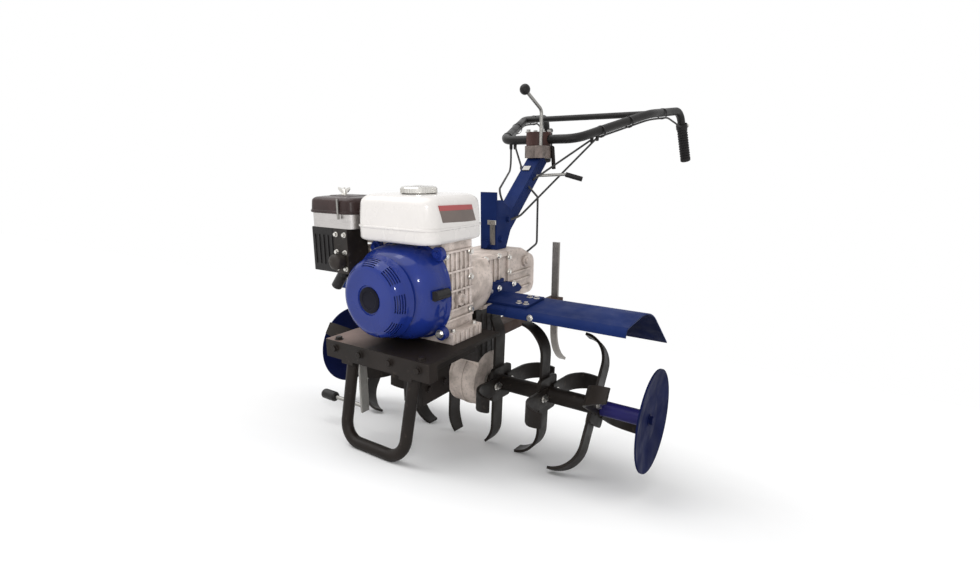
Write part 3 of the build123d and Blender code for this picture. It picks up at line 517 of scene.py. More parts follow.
frame_paint = painted_steel("frame_paint", FRAME_BLACK, 0.45, mottle=0.4, edge=0.002,
                            scuff=(0.045, 0.034, 0.027), shine=0.2)
dress(frame_paint, "engine_bed", "bumper", "lock_lever")
# The top faces turn tan towards the right: painted light where the engine's shadow ends, broken up by dust
# patches.
bed_light_and_dust = lit_dusty_plate("bed_light_and_dust", FRAME_BLACK, (0.25, 0.18, 0.155), right=-0.10, left=-0.02)
level_up = level.to_3x3() @ Vector((0, 0, 1))
FACES_UP = 0.95
recoat("engine_bed", bed_light_and_dust, lambda face: face.normal.dot(level_up) > FACES_UP)
bed_low, bed_high = level_box("engine_bed")
BED_BOLT_X = 0.125
bed_bolts = [((side * BED_BOLT_X, -0.372, bed_high.z), (0, 0, 1)) for side in (-1, 1)]
bed_bolts += [((x, bed_low.y, 0.170), (0, -1, 0)) for x in (-BED_BOLT_X, -0.045, 0.045, BED_BOLT_X)]
bed_bolts += [((0.100, y, 0.102), (1, 0, 0)) for y in (-0.325, -0.27)]
bolts("bed_bolts", "chassis", bed_bolts, finish=frame_paint)


# Front lever: a flat bar with a cross rod in bare drawn steel, pinned below the bed, with a grip pushed on
# its end. The grip is moulded black plastic, as are the other small grips, the gear knob and the intake.
def moulded_plastic(name, colour, rough, shine=0.22):
    """Black moulded plastic: a fine eroded texture, slightly uneven gloss and cloudy dust."""
    finish, tree, shader, coords = start_finish(name, rough, shine=shine)
    light = tuple(channel * 1.7 + 0.004 for channel in colour)
    base = ramp(tree, noise(tree, coords, 16.0, 6.0), (0.35, colour), (0.75, light))
    wear = ramp(tree, noise(tree, coords, 45.0), (0.3, rough * 0.8), (0.7, rough * 1.2))
    fill(tree, shader, {"Base Color": base, "Roughness": wear})
    relief(tree, shader, noise(tree, coords, 900.0, 2.0), 0.25, 0.0004, 0.0015)
    return finish


drawn_steel = bare_metal("drawn_steel", (0.36, 0.35, 0.33), 0.36, (8.0, 8.0, 1.0), 0.35)
dress(drawn_steel, "front_lever", "side_lever", "gear_lever")
black_plastic = moulded_plastic("black_plastic", (0.009, 0.008, 0.008), 0.38)
dress(black_plastic, "front_lever_grip", "side_lever_grip", "gear_knob", "starter_grip", "inlet_stub",
      "intake_elbow")

# Engine: a block and finned head cast in grey aluminium, bolted down on the bed through a wider sump. Ribs,
# a filler plug and studs stand on the sides that show between the fan cover and the gearbox.
engine_alloy = cast_alloy("engine_alloy", (0.84, 0.735, 0.675), (0.46, 0.39, 0.345))
dress(engine_alloy, "engine_block", "cylinder_head")
SUMP_OUT = 0.027
SUMP_TOP = 0.214
SIDE_RIBS = 6
SIDE_RIB_PITCH = 0.017
SUMP_RIB_PITCH = 0.0176
block_low, block_high = level_box("engine_block")
block_middle = (block_low.y + block_high.y) / 2
block_side = block_high.x - SUMP_OUT
block_ribs = [(side * block_side, block_low.y + 0.014 + SIDE_RIB_PITCH * number, 0.325)
              for side in (-1, 1) for number in range(SIDE_RIBS)]
ribs("block_ribs", block_ribs, (0.008, 0.005, 0.13), engine_alloy)
cross_ribs = [(side * block_side, block_middle, z) for side in (-1, 1)
              for z in (0.236, 0.258, 0.302, 0.346, 0.392)]
ribs("block_cross_ribs", cross_ribs, (0.010, 0.108, 0.005), engine_alloy)
block_bolts = []
for side in (-1, 1):
    for end, way in ((block_low.y, 1), (block_high.y, -1)):
        block_bolts += [((side * (block_side + 0.003), end + way * 0.010, z), (side, 0, 0))
                        for z in (0.247, 0.325, 0.385)]
        block_bolts.append(((side * (block_high.x - 0.012), end + way * 0.016, SUMP_TOP), (0, 0, 1)))
bolts("block_bolts", "chassis", block_bolts, across=0.012)
sump_ribs = [(side * block_high.x, block_low.y + 0.012 + SUMP_RIB_PITCH * number, 0.201)
             for side in (-1, 1) for number in range(SIDE_RIBS)]
ribs("sump_ribs", sump_ribs, (0.006, 0.006, 0.022), engine_alloy)
plug_outline = ((0, 0.014), (0.012, 0.014), (0.014, 0.012), (0.014, 0.006), (0.022, 0.006), (0.022, 0.0001))
turned_piece("filler_plug", "chassis", engine_alloy, plug_outline, 24, (1, 0, 0),
             (block_side, block_middle, 0.280))

# Fan cover: one pressed steel drum in deep gloss blue, nearly round, with a soft rolled front edge and
# four ears by which it is screwed to the block.
gloss_blue = painted_steel("gloss_blue", (0.0095, 0.0245, 0.175), 0.3, coat=0.5, mottle=0.15, edge=0.001,
                           shine=0.08)
COVER_ROLL = 0.058
COVER_STEP = 0.005
ROLL_ROWS = 12
COVER_SEGMENTS = 128
COVER_SQUARENESS = 2.45     # 2 would be an oval
SQUARENESS_LOSS = 6.0       # per metre of inset
cover_low, cover_high = level_box("fan_cover")
cover_half = cover_high.x
cover_middle = (cover_low.z + cover_high.z) / 2
cover_tall = (cover_high.z - cover_low.z) / 2


def rounded_ring(half_wide, half_tall, power, count):
    """Points of a square-shouldered oval, evenly turned."""
    ring = []
    for number in range(count):
        turned = 2 * pi * number / count
        wide, tall = cos(turned), sin(turned)
        ring.append((half_wide * abs(wide) ** (2 / power) * (1 if wide >= 0 else -1),
                     half_tall * abs(tall) ** (2 / power) * (1 if tall >= 0 else -1)))
    return ring


def stand_in(name, mesh, finish, node, body="chassis"):
    """Show a mesh in place of a CAD node, riding on that node's body."""
    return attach(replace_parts(show(name, mesh, finish), node), body)


def quarter_turn(rows, start=0):
    """Even angles from a start in degrees up to a right angle."""
    return [radians(start + (90 - start) * row / rows) for row in range(rows + 1)]


cover_steps = [(cover_high.y, 0.0), (cover_high.y - 0.004, 0.0), (cover_high.y - 0.006, 0.004),
               (cover_high.y - 0.010, COVER_STEP), (cover_low.y + COVER_ROLL + 0.010, COVER_STEP)]
cover_steps += [(cover_low.y + COVER_ROLL * (1 - sin(turned)), COVER_STEP + COVER_ROLL * (1 - cos(turned)))
                for turned in quarter_turn(ROLL_ROWS)]
cover_steps.append((cover_low.y, 0.07))
cover_rows = []
for y, inset in cover_steps:
    squareness = COVER_SQUARENESS - SQUARENESS_LOSS * inset
    ring = rounded_ring(cover_half - inset, cover_tall - inset, squareness, COVER_SEGMENTS)
    cover_rows.append([(x, y, cover_middle + z) for x, z in ring])
stand_in("fan_drum", soften(skin("fan_drum", cover_rows), 0.9), gloss_blue, "fan_cover")
EAR_OUT = 0.014
ear_outline = ((0, 0.016), (0.012, 0.016), (EAR_OUT, 0.014), (EAR_OUT, 0.0001))
ear_places = ((0.092, 0.392), (0.096, 0.214), (-0.096, 0.214), (-0.092, 0.392))
for number, (x, z) in enumerate(ear_places):
    turned_piece("cover_ear_%d" % number, "chassis", gloss_blue, ear_outline, 28, (0, -1, 0),
                 (x, cover_high.y, z))
cover_bolts = [((x, cover_high.y - EAR_OUT, z), (0, -1, 0)) for x, z in ear_places]
bolts("cover_bolts_low", "chassis", [entry for entry in cover_bolts if entry[0][2] < cover_middle])
bolts("cover_bolts_high", "chassis", [entry for entry in cover_bolts if entry[0][2] > cover_middle],
      finish=gloss_blue)

# Starter: a pressed dome with groups of curved cooling slots round its shoulder, a flat black hub and a pull
# grip at its side. It is bolted over the flywheel and painted like the cover.
SHOULDER_R = 0.064
SHOULDER_BACK = 0.008
SHOULDER_START = 4
SHOULDER_ROWS = 16
RIM_ROWS = 2
SLOT_ROWS = (3, 5, 7, 9, 11)
SLOT_GROUPS = 8
GROUP_SEGMENTS = 16
SLOT_SEGMENTS = 10
SLOT_DEEP = 0.006
dome_low, dome_high = level_box("starter_dome")
dome_middle = (dome_low.z + dome_high.z) / 2
dome_r = (dome_high.x - dome_low.x) / 2
dome_deep = dome_high.y - dome_low.y
shoulder_out = dome_r - SHOULDER_R - 0.004
dome_outline = [(0, dome_r), (0.004, dome_r - 0.0014)]
dome_outline += [(SHOULDER_BACK + (dome_deep - SHOULDER_BACK) * sin(turned),
                  SHOULDER_R + shoulder_out * cos(turned))
                 for turned in quarter_turn(SHOULDER_ROWS, SHOULDER_START)]
dome_outline += [(dome_deep, radius) for radius in (0.060, 0.052, 0.044, 0.036, 0.033)]
dome_outline += [(dome_deep - 0.003, 0.0315), (dome_deep - 0.003, 0.004)]
dome_segments = SLOT_GROUPS * GROUP_SEGMENTS
dome_mesh = lathe("dome", dome_outline, dome_segments, (0, -1, 0), (0, dome_high.y, dome_middle))
dome_edit = bmesh.new()
dome_edit.from_mesh(dome_mesh)
dome_edit.faces.ensure_lookup_table()
slot_faces = [dome_edit.faces[(RIM_ROWS + row) * dome_segments + segment]
              for row in SLOT_ROWS for segment in range(dome_segments)
              if (segment + SLOT_SEGMENTS // 2) % GROUP_SEGMENTS < SLOT_SEGMENTS]
pushed = bmesh.ops.extrude_face_region(dome_edit, geom=slot_faces)
bmesh.ops.delete(dome_edit, geom=slot_faces, context="FACES_ONLY")
dome_centre = level @ Vector((0, dome_high.y, dome_middle))
dome_way = (level.to_3x3() @ Vector((0, -1, 0))).normalized()
for item in pushed["geom"]:
    if isinstance(item, bmesh.types.BMVert):
        out = item.co - dome_centre
        out -= dome_way * out.dot(dome_way)
        item.co -= (dome_way + out.normalized()).normalized() * SLOT_DEEP
bmesh.ops.recalc_face_normals(dome_edit, faces=dome_edit.faces)
dome_edit.to_mesh(dome_mesh)
dome_edit.free()
stand_in("pull_start_dome", soften(dome_mesh, 0.7), gloss_blue, "starter_dome")
hub_black = moulded_plastic("hub_black", (0.0035, 0.0035, 0.008), 0.45, 0.08)
hub_outline = ((0, 0.0285), (0.003, 0.0285), (0.004, 0.027), (0.004, 0.020), (0.003, 0.019), (0.003, 0.0001))
turned_piece("starter_hub", "chassis", hub_black, hub_outline, 48, (0, -1, 0),
             (0, dome_low.y + 0.0042, dome_middle))

# Fuel tank: two pressed steel halves welded at a seam below the middle, in warm white enamel, with a crowned
# top. The left side carries a bare two-colour panel, a red strip over brown-grey.
enamel = painted_steel("white_enamel", (0.70, 0.67, 0.645), 0.25, coat=0.4, mottle=0.03, edge=0.001)
CROWN_ROWS = 10
CROWN_DROP = 0.022
CROWN_IN = 0.024
tank_low, tank_high = level_box("fuel_tank")
tank_middle = (tank_low + tank_high) / 2
tank_half = (tank_high - tank_low) / 2
seam_z = tank_low.z + 0.032
tank_steps = [(tank_low.z, 0.010), (tank_low.z + 0.003, 0.004), (tank_low.z + 0.008, 0.002),
              (seam_z - 0.003, 0.002), (seam_z - 0.0015, 0.0), (seam_z + 0.0015, 0.0),
              (seam_z + 0.003, 0.0022), (seam_z + 0.030, 0.003)]
tank_steps += [(tank_high.z - 0.024 + CROWN_DROP * sin(turned), 0.0045 + CROWN_IN * (1 - cos(turned)))
               for turned in quarter_turn(CROWN_ROWS)]
tank_steps += [(tank_high.z - 0.0015, 0.045), (tank_high.z - 0.0005, 0.07), (tank_high.z, 0.09)]


def rounded_square(half_wide, half_long, corner, count):
    """Points of a rectangle with round corners, the same number on each corner."""
    ring = []
    corner = min(corner, half_wide * 0.99, half_long * 0.99)
    for quarter in range(4):
        corner_x = (half_wide - corner) * (1 if quarter in (0, 3) else -1)
        corner_y = (half_long - corner) * (1 if quarter in (0, 1) else -1)
        for number in range(count + 1):
            turned = radians(90 * quarter + 90 * number / count)
            ring.append((corner_x + corner * cos(turned), corner_y + corner * sin(turned)))
    return ring


def rounded_box(name, steps, middle, half, corner, corner_share, corner_least, count, angle):
    """A box of rounded rectangles, one for each (height, inset) step, with softened edges."""
    rows = []
    for z, inset in steps:
        rounding = max(corner - inset * corner_share, corner_least)
        ring = rounded_square(half.x - inset, half.y - inset, rounding, count)
        rows.append([(middle.x + x, middle.y + y, z) for x, y in ring])
    return soften(skin(name, rows), angle)


tank_mesh = rounded_box("enamel_tank", tank_steps, tank_middle, tank_half, 0.036, 0.3, 0.012, 12, 0.8)
stand_in("enamel_tank", tank_mesh, enamel, "fuel_tank")
panel_red = painted_steel("panel_red", (0.36, 0.045, 0.045), 0.35, coat=0.3, mottle=0.15, edge=0.0)
panel_grey = painted_steel("panel_grey", (0.13, 0.095, 0.08), 0.4, coat=0.3, mottle=0.25, edge=0.0)
panel_x = tank_high.x - 0.0034


def side_patch(name, corners, finish):
    """A thin printed plate on the tank's left side, through (Y, Z) corners."""
    middle_y = sum(y for y, _ in corners) / len(corners)
    middle_z = sum(z for _, z in corners) / len(corners)
    rows = []
    for x, shrink in ((panel_x - 0.001, 1.0), (panel_x + 0.0007, 1.0), (panel_x + 0.001, 0.99)):
        rows.append([(x, middle_y + (y - middle_y) * shrink, middle_z + (z - middle_z) * shrink)
                     for y, z in corners])
    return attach(show(name, skin(name, rows), finish), "chassis")


side_patch("panel_strip", ((-0.302, 0.499), (-0.186, 0.495), (-0.182, 0.484), (-0.299, 0.488)), panel_red)
side_patch("panel_field", ((-0.299, 0.488), (-0.182, 0.484), (-0.170, 0.457), (-0.291, 0.463)), panel_grey)

# Fuel cap: pressed steel, bright plated, with a knurled skirt and a shallow ring round its crown. It is
# screwed on the neck at the tank's top.
plated = bare_metal("plated_steel", (0.72, 0.70, 0.66), 0.2, (3.0, 3.0, 1.0), 0.2)
CAP_KNURLS = 40
cap_low, cap_high = level_box("fuel_cap")
cap_centre = Vector(((cap_low.x + cap_high.x) / 2, (cap_low.y + cap_high.y) / 2, cap_low.z))
cap_r = (cap_high.x - cap_low.x) / 2
cap_tall = cap_high.z - cap_low.z
cap_outline = ((-0.001, cap_r * 0.86), (0.001, cap_r * 0.98), (cap_tall * 0.62, cap_r * 0.98),
               (cap_tall * 0.80, cap_r * 0.93), (cap_tall * 0.86, cap_r * 0.82),
               (cap_tall * 0.80, cap_r * 0.66), (cap_tall * 0.92, cap_r * 0.4),
               (cap_tall, cap_r * 0.15), (cap_tall, 0.0002))
cap_mesh = soften(lathe("plated_cap", cap_outline, 64, (0, 0, 1), cap_centre), 0.5)
stand_in("plated_cap", cap_mesh, plated, "fuel_cap")
knurl_angles = [2 * pi * number / CAP_KNURLS for number in range(CAP_KNURLS)]
knurl_r = cap_r * 0.975
knurls = [cap_centre + Vector((knurl_r * cos(angle), knurl_r * sin(angle), cap_tall * 0.33))
          for angle in knurl_angles]
ribs("cap_knurls", knurls, (0.0018, 0.003, cap_tall * 0.58), plated,
     turns=[(0, 0, angle) for angle in knurl_angles])

# Air cleaner: a moulded black-brown cover with a lipped rim and a raised top, held by a wing nut and a wire
# clip. It sits on a plated base band over the carburettor.
cleaner_black = moulded_plastic("cleaner_black", (0.026, 0.0145, 0.0135), 0.3)
band_steel = bare_metal("band_steel", (0.60, 0.575, 0.56), 0.34, (1.0, 1.0, 20.0), 0.25)
dress(band_steel, "air_cleaner_base")
LID_ROWS = 8
LID_RISE = 0.011
LID_IN = 0.012
air_low, air_high = level_box("air_cleaner")
air_middle = (air_low + air_high) / 2
air_half = (air_high - air_low) / 2
air_steps = [(air_low.z, 0.003), (air_low.z + 0.002, 0.0), (air_low.z + 0.006, 0.0),
             (air_low.z + 0.007, 0.0015), (air_low.z + 0.012, 0.002)]
air_steps += [(air_high.z - 0.014 + LID_RISE * sin(turned), 0.003 + LID_IN * (1 - cos(turned)))
              for turned in quarter_turn(LID_ROWS)]
air_steps += [(air_high.z - 0.002, 0.022), (air_high.z - 0.002, 0.032), (air_high.z, 0.036),
              (air_high.z, 0.055)]
air_mesh = rounded_box("cleaner_cover", air_steps, air_middle, air_half, 0.022, 0.25, 0.008, 8, 0.6)
stand_in("cleaner_cover", air_mesh, cleaner_black, "air_cleaner")
NUT_OFF = 0.016
nut_centre = Vector((air_middle.x - NUT_OFF, air_middle.y, air_high.z))
nut_outline = ((-0.002, 0.010), (0.0015, 0.010), (0.003, 0.006), (0.011, 0.0055), (0.013, 0.003),
               (0.017, 0.003), (0.017, 0.0002))
turned_piece("wing_nut", "chassis", zinc, nut_outline, 24, (0, 0, 1), nut_centre)
WING_HALF = 0.0015
wing_outline = ((0.003, 0.003), (0.012, 0.006), (0.020, 0.013), (0.019, 0.018), (0.011, 0.016),
                (0.003, 0.010))
for side in (-1, 1):
    wing_rows = [[nut_centre + Vector((side * x, y, z)) for x, z in wing_outline]
                 for y in (-WING_HALF, WING_HALF)]
    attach(show("nut_wing_%d" % (side + 1), skin("nut_wing", wing_rows), zinc), "chassis")
clip_place = (air_middle.x + 0.035, air_low.y - 0.001, air_low.z + 0.012)
ribs("cleaner_clip", [clip_place], (0.005, 0.004, 0.046), drawn_steel)

# Carburettor: a dark die-cast body under the air cleaner, screwed to the engine's inlet, with a round boss in
# front. The ribbed black intake box beside it is moulded.
carb_dark = painted_steel("carb_dark", (0.022, 0.017, 0.014), 0.5, mottle=0.6, scuff=(0.13, 0.115, 0.1),
                          shine=0.3)
dress(carb_dark, "carburettor")
CARB_SCREW_IN = 0.009
ELBOW_RIBS = 5
ELBOW_RIB_PITCH = 0.015
carb_low, carb_high = level_box("carburettor")
carb_screws = [((x, carb_low.y, z), (0, -1, 0))
               for x in (carb_low.x + CARB_SCREW_IN, carb_high.x - CARB_SCREW_IN)
               for z in (carb_low.z + 0.012, carb_low.z + 0.05, carb_high.z - 0.014)]
bolts("carb_screws", "chassis", carb_screws, across=0.009, height=0.005)
carb_boss_outline = ((-0.004, 0.017), (0.020, 0.019), (0.024, 0.017), (0.030, 0.008), (0.030, 0.0002))
turned_piece("carb_boss", "chassis", carb_dark, carb_boss_outline, 32, (0, -1, 0),
             ((carb_low.x + carb_high.x) / 2, carb_low.y, carb_low.z + 0.03))
elbow_low, elbow_high = level_box("intake_elbow")
elbow_ribs = [(elbow_low.x + 0.012 + ELBOW_RIB_PITCH * number, elbow_low.y, (elbow_low.z + elbow_high.z) / 2)
              for number in range(ELBOW_RIBS)]
ribs("elbow_ribs", elbow_ribs, (0.004, 0.004, 0.07), black_plastic)

# Muffler: a can of welded sheet steel, browned by heat, bolted to the head behind the air cleaner. A guard of
# upright zinc-plated bars keeps hands off its outer side.
muffler_steel = bare_metal("muffler_steel", (0.30, 0.26, 0.22), 0.45, (2.0, 2.0, 2.0), 0.5)
dress(muffler_steel, "muffler")
GUARD_BARS = 5
GUARD_PITCH = 0.0135
muffler_low, muffler_high = level_box("muffler")
guard_bars = [(muffler_low.x - 0.001, muffler_low.y + 0.02 + GUARD_PITCH * number,
               (muffler_low.z + muffler_high.z) / 2) for number in range(GUARD_BARS)]
ribs("guard_bars", guard_bars, (0.004, 0.006, 0.07), zinc)

# Column: a welded steel box section on a flanged foot, in mid-blue paint. The foot is bolted through its
# cheeks and flange, and holds a bare strap. A clip and a ferrule on the neck hold the cables.
sheet_blue = painted_steel("sheet_blue", (0.0080, 0.0200, 0.094), 0.55, mottle=0.18, edge=0.0018,
                           scuff=(0.011, 0.026, 0.105), shine=0.06)
dress(sheet_blue, "column", "column_foot", "left_fender", "right_fender", "left_fender_bracket",
      "right_fender_bracket")
foot_low, foot_high = level_box("column_foot")
foot_bolts = [((side * foot_high.x, y, z), (side, 0, 0)) for side in (-1, 1)
              for y, z in ((0.084, 0.380), (0.122, 0.432))]
bolts("foot_bolts", "chassis", foot_bolts, finish=sheet_blue)
bolts("foot_front_bolt", "chassis", [((-0.006, foot_low.y, 0.366), (0, -1, 0))], across=0.024, height=0.010,
      finish=sheet_blue)
ribs("foot_strap", [(0.014, foot_low.y, 0.394)], (0.016, 0.004, 0.056), drawn_steel)
ribs("foot_clip", [(0.012, foot_low.y, 0.427)], (0.026, 0.008, 0.012), zinc)


def side_plates(name, outline, depths):
    """A blue plate on each side, through (Y, Z) points, from the first depth out to the last."""
    for side in (-1, 1):
        rows = [[(side * x, y, z) for y, z in outline] for x in depths]
        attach(show("%s_%d" % (name, side + 1), skin(name, rows), sheet_blue), "chassis")


cheek_outline = ((0.068, 0.440), (0.068, 0.487), (0.094, 0.486), (0.160, 0.446), (0.150, 0.430))
side_plates("cheek_top", cheek_outline, (0.0215, 0.0262))
COLUMN_SLOPE = 0.726
SWIVEL_Y = 0.342
ribs("neck_clip", [(-0.004, 0.277, 0.5695)], (0.024, 0.018, 0.004), drawn_steel,
     turns=[(COLUMN_SLOPE, 0, 0)])
FERRULE_START = Vector((-0.022, 0.285, 0.560))
STOP_CABLE_TOP = Vector((-0.084, SWIVEL_Y, 0.637))
ferrule_outline = ((-0.004, 0.0055), (0.016, 0.0055), (0.022, 0.004), (0.022, 0.0032))
turned_piece("neck_ferrule", "chassis", black_plastic, ferrule_outline, 20, STOP_CABLE_TOP - FERRULE_START,
             FERRULE_START)

# Column head and clamp: a dull cast block that carries the swivel pin, and above it the cast clamp, under
# brown primer, that grips the handlebar. Four bolts close the clamp from above.
head_alloy = cast_alloy("head_alloy", (0.215, 0.17, 0.15), (0.085, 0.068, 0.058))
dress(head_alloy, "column_head")
clamp_brown = painted_steel("clamp_brown", (0.050, 0.020, 0.016), 0.45, mottle=0.5, edge=0.002,
                            scuff=(0.10, 0.055, 0.045), shine=0.25)
dress(clamp_brown, "handlebar_clamp")
clamp_top = level_box("handlebar_clamp")[1].z
clamp_bolts = [((x, SWIVEL_Y + y, clamp_top), (0, 0, 1)) for x in (-0.024, 0.024) for y in (-0.022, 0.022)]
bolts("clamp_bolts", "handlebar", clamp_bolts, across=0.014, height=0.007, finish=shaft_steel)

# Handlebar: one bent steel tube in satin black with a welded cross brace. Each end has a moulded, ridged grip
# and above it a plastic perch, whose lug holds the hand lever on a pivot bolt.
bar_paint = painted_steel("bar_paint", (0.0095, 0.0085, 0.008), 0.42, edge=0.001, scuff=(0.03, 0.028, 0.026),
                          shine=0.25)
dress(bar_paint, "handlebar", "left_hand_lever", "right_hand_lever")
grip_rubber = moulded_plastic("grip_rubber", (0.009, 0.008, 0.008), 0.6)
BAR_END = Vector((0.290, 0.952, 0.598))
BAR_DROP = Vector((0.270, 0.900, 0.768))
GRIP_R = 0.018
GROOVE = 0.0022
RIDGES = 11
RIDGE_PITCH = 0.0092
PERCH_UP = 0.121
LEVER_WAY = Vector((0, 0.045, 0.009))
PIVOT_ALONG = 0.036
PIVOT_OUT = 0.0095
grip_outline = [(-0.0052, 0.010), (-0.0052, GRIP_R - 0.004), (-0.003, GRIP_R - 0.0005)]
for number in range(RIDGES):
    base = 0.004 + RIDGE_PITCH * number
    grip_outline += [(base, GRIP_R - 0.0002), (base + 0.0045, GRIP_R), (base + 0.006, GRIP_R - GROOVE),
                     (base + 0.008, GRIP_R - GROOVE)]
grip_outline += [(0.106, GRIP_R), (0.111, GRIP_R), (0.112, GRIP_R - 0.002), (0.112, 0.0138)]
perch_outline = ((0.113, 0.0185), (0.115, 0.020), (0.130, 0.020), (0.132, 0.0185))
lug_outline = ((0.012, 0.0115), (0.030, 0.0105), (0.044, 0.0095), (0.047, 0.007), (0.047, 0.0001))


def mirrored(point, sign):
    """A point on the left side, or its mirror image on the right."""
    return Vector((sign * point.x, point.y, point.z))


for side, sign in (("left", 1), ("right", -1)):
    end = mirrored(BAR_END, sign)
    up = (mirrored(BAR_DROP, sign) - end).normalized()
    grip_mesh = soften(lathe(side + "_sleeve", grip_outline, 40, up, end), 0.5)
    stand_in(side + "_sleeve", grip_mesh, grip_rubber, side + "_grip", "handlebar")
    turned_piece(side + "_perch", "handlebar", black_plastic, perch_outline, 32, up, end, False)
    lug_start = end + up * PERCH_UP
    turned_piece(side + "_lever_lug", "handlebar", black_plastic, lug_outline, 24, LEVER_WAY, lug_start)
    pivot = lug_start + LEVER_WAY.normalized() * PIVOT_ALONG + Vector((sign * PIVOT_OUT, 0, 0))
    bolts(side + "_lever_pivot", "handlebar", [(pivot, (sign, 0, 0))], across=0.011, height=0.005)

# Control cables: black sleeved steel cables from the handlebar to the column, and one on to the gearbox. The
# real cables bend with the handlebar; here the sleeve is only cut into short lengths. Ties and stops fix them
# to the arms.
cable_sleeve = moulded_plastic("cable_sleeve", (0.030, 0.029, 0.028), 0.5)
SLEEVE_LENGTH = 0.012
SLEEVE_CUTS = 5
MERGE_DISTANCE = 0.00002


def cable_copy(node):
    """A CAD cable's own tube, merged and cut into short lengths."""
    edit = bmesh.new()
    edit.from_mesh(nodes[node].data)
    bmesh.ops.remove_doubles(edit, verts=edit.verts, dist=MERGE_DISTANCE)
    for _ in range(SLEEVE_CUTS):
        long = [edge for edge in edit.edges if edge.calc_length() > SLEEVE_LENGTH]
        if not long:
            break
        bmesh.ops.subdivide_edges(edit, edges=long, cuts=1)
        bmesh.ops.triangulate(edit, faces=edit.faces)
    bmesh.ops.recalc_face_normals(edit, faces=edit.faces)
    plain = bpy.data.meshes.new(node + "_sleeve")
    edit.to_mesh(plain)
    edit.free()
    return soften(plain, 1.0)


cables = show("cable_sleeves", cable_copy("control_cables"), cable_sleeve)
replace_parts(cables, "control_cables")
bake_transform(cables)
dress(cable_sleeve, "gear_cable", "arm_cables")


def tie_tree():
    """Flat loops on points that face along the tube that each one binds."""
    sizes = {"Loop Radius": 0.0175, "Band Width": 0.006, "Band Thickness": 0.0016}
    tree, given = start_tree("cable_ties", sizes)
    loop = added(tree, "GeometryNodeCurvePrimitiveCircle",
                 {"Resolution": 32, "Radius": given["Loop Radius"]})
    band = added(tree, "GeometryNodeCurvePrimitiveQuadrilateral",
                 {"Width": given["Band Thickness"], "Height": given["Band Width"]})
    strap = added(tree, "GeometryNodeCurveToMesh",
                  {"Curve": loop.outputs["Curve"], "Profile Curve": band.outputs["Curve"]})
    return stand_on_points(tree, given, strap.outputs["Mesh"], along_facing(tree))


TIE_BELOW = Vector((0, 0, 0.0038))
ARM_CORNER = Vector((0.125, SWIVEL_Y, 0.655))
ARM_BEND = Vector((0.235, 0.660, 0.742))
tie_places = []
for sign, shares in ((1, (0.315, 0.7)), (-1, (0.15, 0.6))):
    for start, stop, along in ((ARM_CORNER, ARM_BEND, shares), (ARM_BEND, BAR_DROP, (0.4,))):
        for share in along:
            place = start.lerp(stop, share) - TIE_BELOW
            tie_places.append((mirrored(place, sign), mirrored(stop - start, sign)))
ties = grow("cable_ties", faced_points("cable_ties", tie_places), tie_tree(), {"Finish": black_plastic})
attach(ties, "handlebar")
CLUTCH_SHARE = 0.2      # share of the left arm, from its front corner
DRIVE_SHARE = 0.27
THROTTLE_X = -0.099
stop_outline = ((0.011, 0.0052), (0.024, 0.0052), (0.028, 0.004), (0.028, 0.003))
stop_places = [ARM_CORNER.lerp(ARM_BEND, share) for share in (CLUTCH_SHARE, DRIVE_SHARE)]
stop_places += [Vector((x, SWIVEL_Y, ARM_CORNER.z)) for x in (THROTTLE_X, STOP_CABLE_TOP.x)]
for number, place in enumerate(stop_places):
    turned_piece("cable_stop_%d" % number, "handlebar", black_plastic, stop_outline, 20, (0, 0, -1), place)

# Fenders: arched blue steel sheets over the tines, bolted to angle brackets on the gearbox. Their undersides
# are painted a darker blue as painted shade, and each runs in to the bracket with a narrow folded tongue.
# Faces that look down get a darker, duller blue: painted shade.
underside_shade_blue = painted_steel("underside_shade_blue", (0.0035, 0.0065, 0.030), 0.7, mottle=0.4, edge=0.001,
                            scuff=(0.012, 0.011, 0.016), shine=0.03)
FACES_DOWN = -0.1
for node in ("left_fender", "right_fender"):
    recoat(node, underside_shade_blue, lambda face: face.normal.dot(level_up) < FACES_DOWN)
FLANGE_OUT = 0.0695
LIP_Y = -0.0795
BRACKET_TOP = 0.2441
FENDER_RISE = 0.0588
flange_outline = ((-0.050, 0.238), (-0.040, 0.268), (-0.020, 0.274), (0.060, 0.270), (0.112, 0.256),
                  (0.132, 0.240), (0.120, 0.232), (0.0, 0.232))
side_plates("case_flange", flange_outline, (0.0605, 0.0690, FLANGE_OUT))
tongue_outline = ((LIP_Y, 0.216), (LIP_Y, 0.229), (-0.076, 0.2335), (0.030, 0.2397), (0.030, 0.2365),
                  (-0.074, 0.2303), (-0.0765, 0.227), (-0.0765, 0.216))
side_plates("fender_tongue", tongue_outline, (0.090, 0.142))
fender_bolts = []
for side in (-1, 1):
    fender_bolts += [((side * x, y, BRACKET_TOP + FENDER_RISE * y), (0, 0, 1))
                     for x in (0.158, 0.178) for y in (-0.035, 0.02)]
    fender_bolts += [((side * FLANGE_OUT, y, 0.260), (side, 0, 0)) for y in (-0.032, 0.010, 0.085)]
    fender_bolts.append(((side * 0.214, LIP_Y, 0.222), (0, -1, 0)))
bolts("fender_bolts", "chassis", fender_bolts, across=0.012, height=0.005)

# Hitch bracket and depth stake: a welded arm in dull brown primer, bolted behind the gearbox, and a bare
# steel bar with a curled foot that slides in its socket and sets how deep the tines dig.
hitch_paint = painted_steel("hitch_paint", (0.052, 0.027, 0.019), 0.6, mottle=0.4, edge=0.002,
                            scuff=(0.10, 0.06, 0.045), shine=0.2)
dress(hitch_paint, "hitch_bracket")
stake_steel = bare_metal("stake_steel", (0.30, 0.28, 0.26), 0.42, (6.0, 6.0, 1.0), 0.4)
dress(stake_steel, "stake")

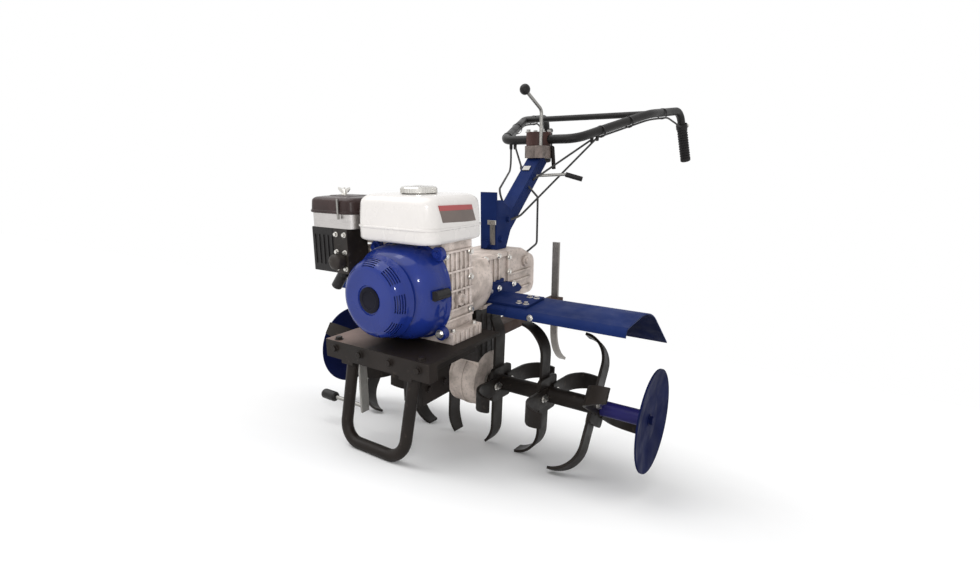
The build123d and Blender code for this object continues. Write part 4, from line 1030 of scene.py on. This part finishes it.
# Studio: a wide white floor that keeps the machine's shadow, under even daylight from all round. One soft
# lamp stands at the upper left, and a small one near the camera puts glints on the gloss paint.
FLOOR_HALF = 30
floor_mesh = bpy.data.meshes.new("floor")
floor_corners = [(x * FLOOR_HALF, y * FLOOR_HALF, 0) for x, y in ((-1, -1), (1, -1), (1, 1), (-1, 1))]
floor_mesh.from_pydata(floor_corners, [], [(0, 1, 2, 3)])
floor_white, floor_tree, floor_shader, floor_coords = start_finish("floor_white", 0.9, shine=0.0)
floor_tone = ramp(floor_tree, noise(floor_tree, floor_coords, 3.0), (0.3, 0.93), (0.7, 0.95))
fill(floor_tree, floor_shader, {"Base Color": floor_tone})
show("floor", floor_mesh, floor_white)


def aimed_lamp(name, lamp, place, way):
    """Hang a lamp at a place, facing along a way."""
    holder = bpy.data.objects.new(name, lamp)
    holder.location = place
    holder.rotation_euler = way.to_track_quat("-Z", "Y").to_euler()
    bpy.context.scene.collection.objects.link(holder)


def soft_lamp(name, place, target, size, power):
    """A square lamp that faces a point."""
    lamp = bpy.data.lights.new(name, "AREA")
    lamp.energy = power
    lamp.size = size
    aimed_lamp(name, lamp, place, target - place)


soft_lamp("key_lamp", Vector((-1.4, -2.4, 3.0)), Vector((0, 0, 0.4)), size=0.8, power=7)
soft_lamp("front_lamp", level @ Vector((0.78, -1.20, 0.78)), level @ Vector((0, -0.3, 0.3)), size=0.1,
          power=3.2)
daylight = bpy.data.lights.new("daylight", "SUN")
daylight.energy = 1.5
daylight.angle = radians(70)
aimed_lamp("daylight", daylight, (0, 0, 0), Vector((0.45, 0.55, -1.0)))
DAYLIGHT_STRENGTH = 0.72
surround = bpy.data.worlds.new("surround")
bpy.context.scene.world = surround
surround.use_nodes = True
sky = surround.node_tree
rays = sky.nodes.new("ShaderNodeLightPath")
seen = rays.outputs["Is Camera Ray"]
for kind in ("Is Transmission Ray", "Is Glossy Ray"):
    seen = worked(sky, "ShaderNodeMath", "MAXIMUM", seen, rays.outputs[kind])["Value"]
strength = added(sky, "ShaderNodeMapRange", {"To Min": DAYLIGHT_STRENGTH, "To Max": 1.0, "Value": seen})
fill(sky, sky.nodes["Background"], {"Color": (1, 1, 1, 1), "Strength": strength.outputs["Result"]})
bpy.context.scene.view_settings.view_transform = "Standard"

# Camera: a wide lens close to the machine's front left, a little above the tank. It is held upright beside
# the level machine, so it leans with the parked one.
FOCAL_PIXELS = 534
PHOTO_WIDTH = 980
SENSOR_WIDTH = 36
CAMERA_PLACE = Vector((0.815, -1.16, 0.580))
CAMERA_YAW = radians(33.5)
CAMERA_PITCH = radians(13.6)
camera_data = bpy.data.cameras.new("photo_camera")
camera_data.sensor_width = SENSOR_WIDTH
camera_data.lens = SENSOR_WIDTH * FOCAL_PIXELS / PHOTO_WIDTH
camera_data.clip_start = 0.01
camera = bpy.data.objects.new("photo_camera", camera_data)
bpy.context.scene.collection.objects.link(camera)
camera_turn = Matrix.Rotation(CAMERA_YAW, 4, "Z") @ Matrix.Rotation(radians(90) - CAMERA_PITCH, 4, "X")
camera.matrix_world = level @ Matrix.Translation(CAMERA_PLACE) @ camera_turn
bpy.context.scene.camera = camera
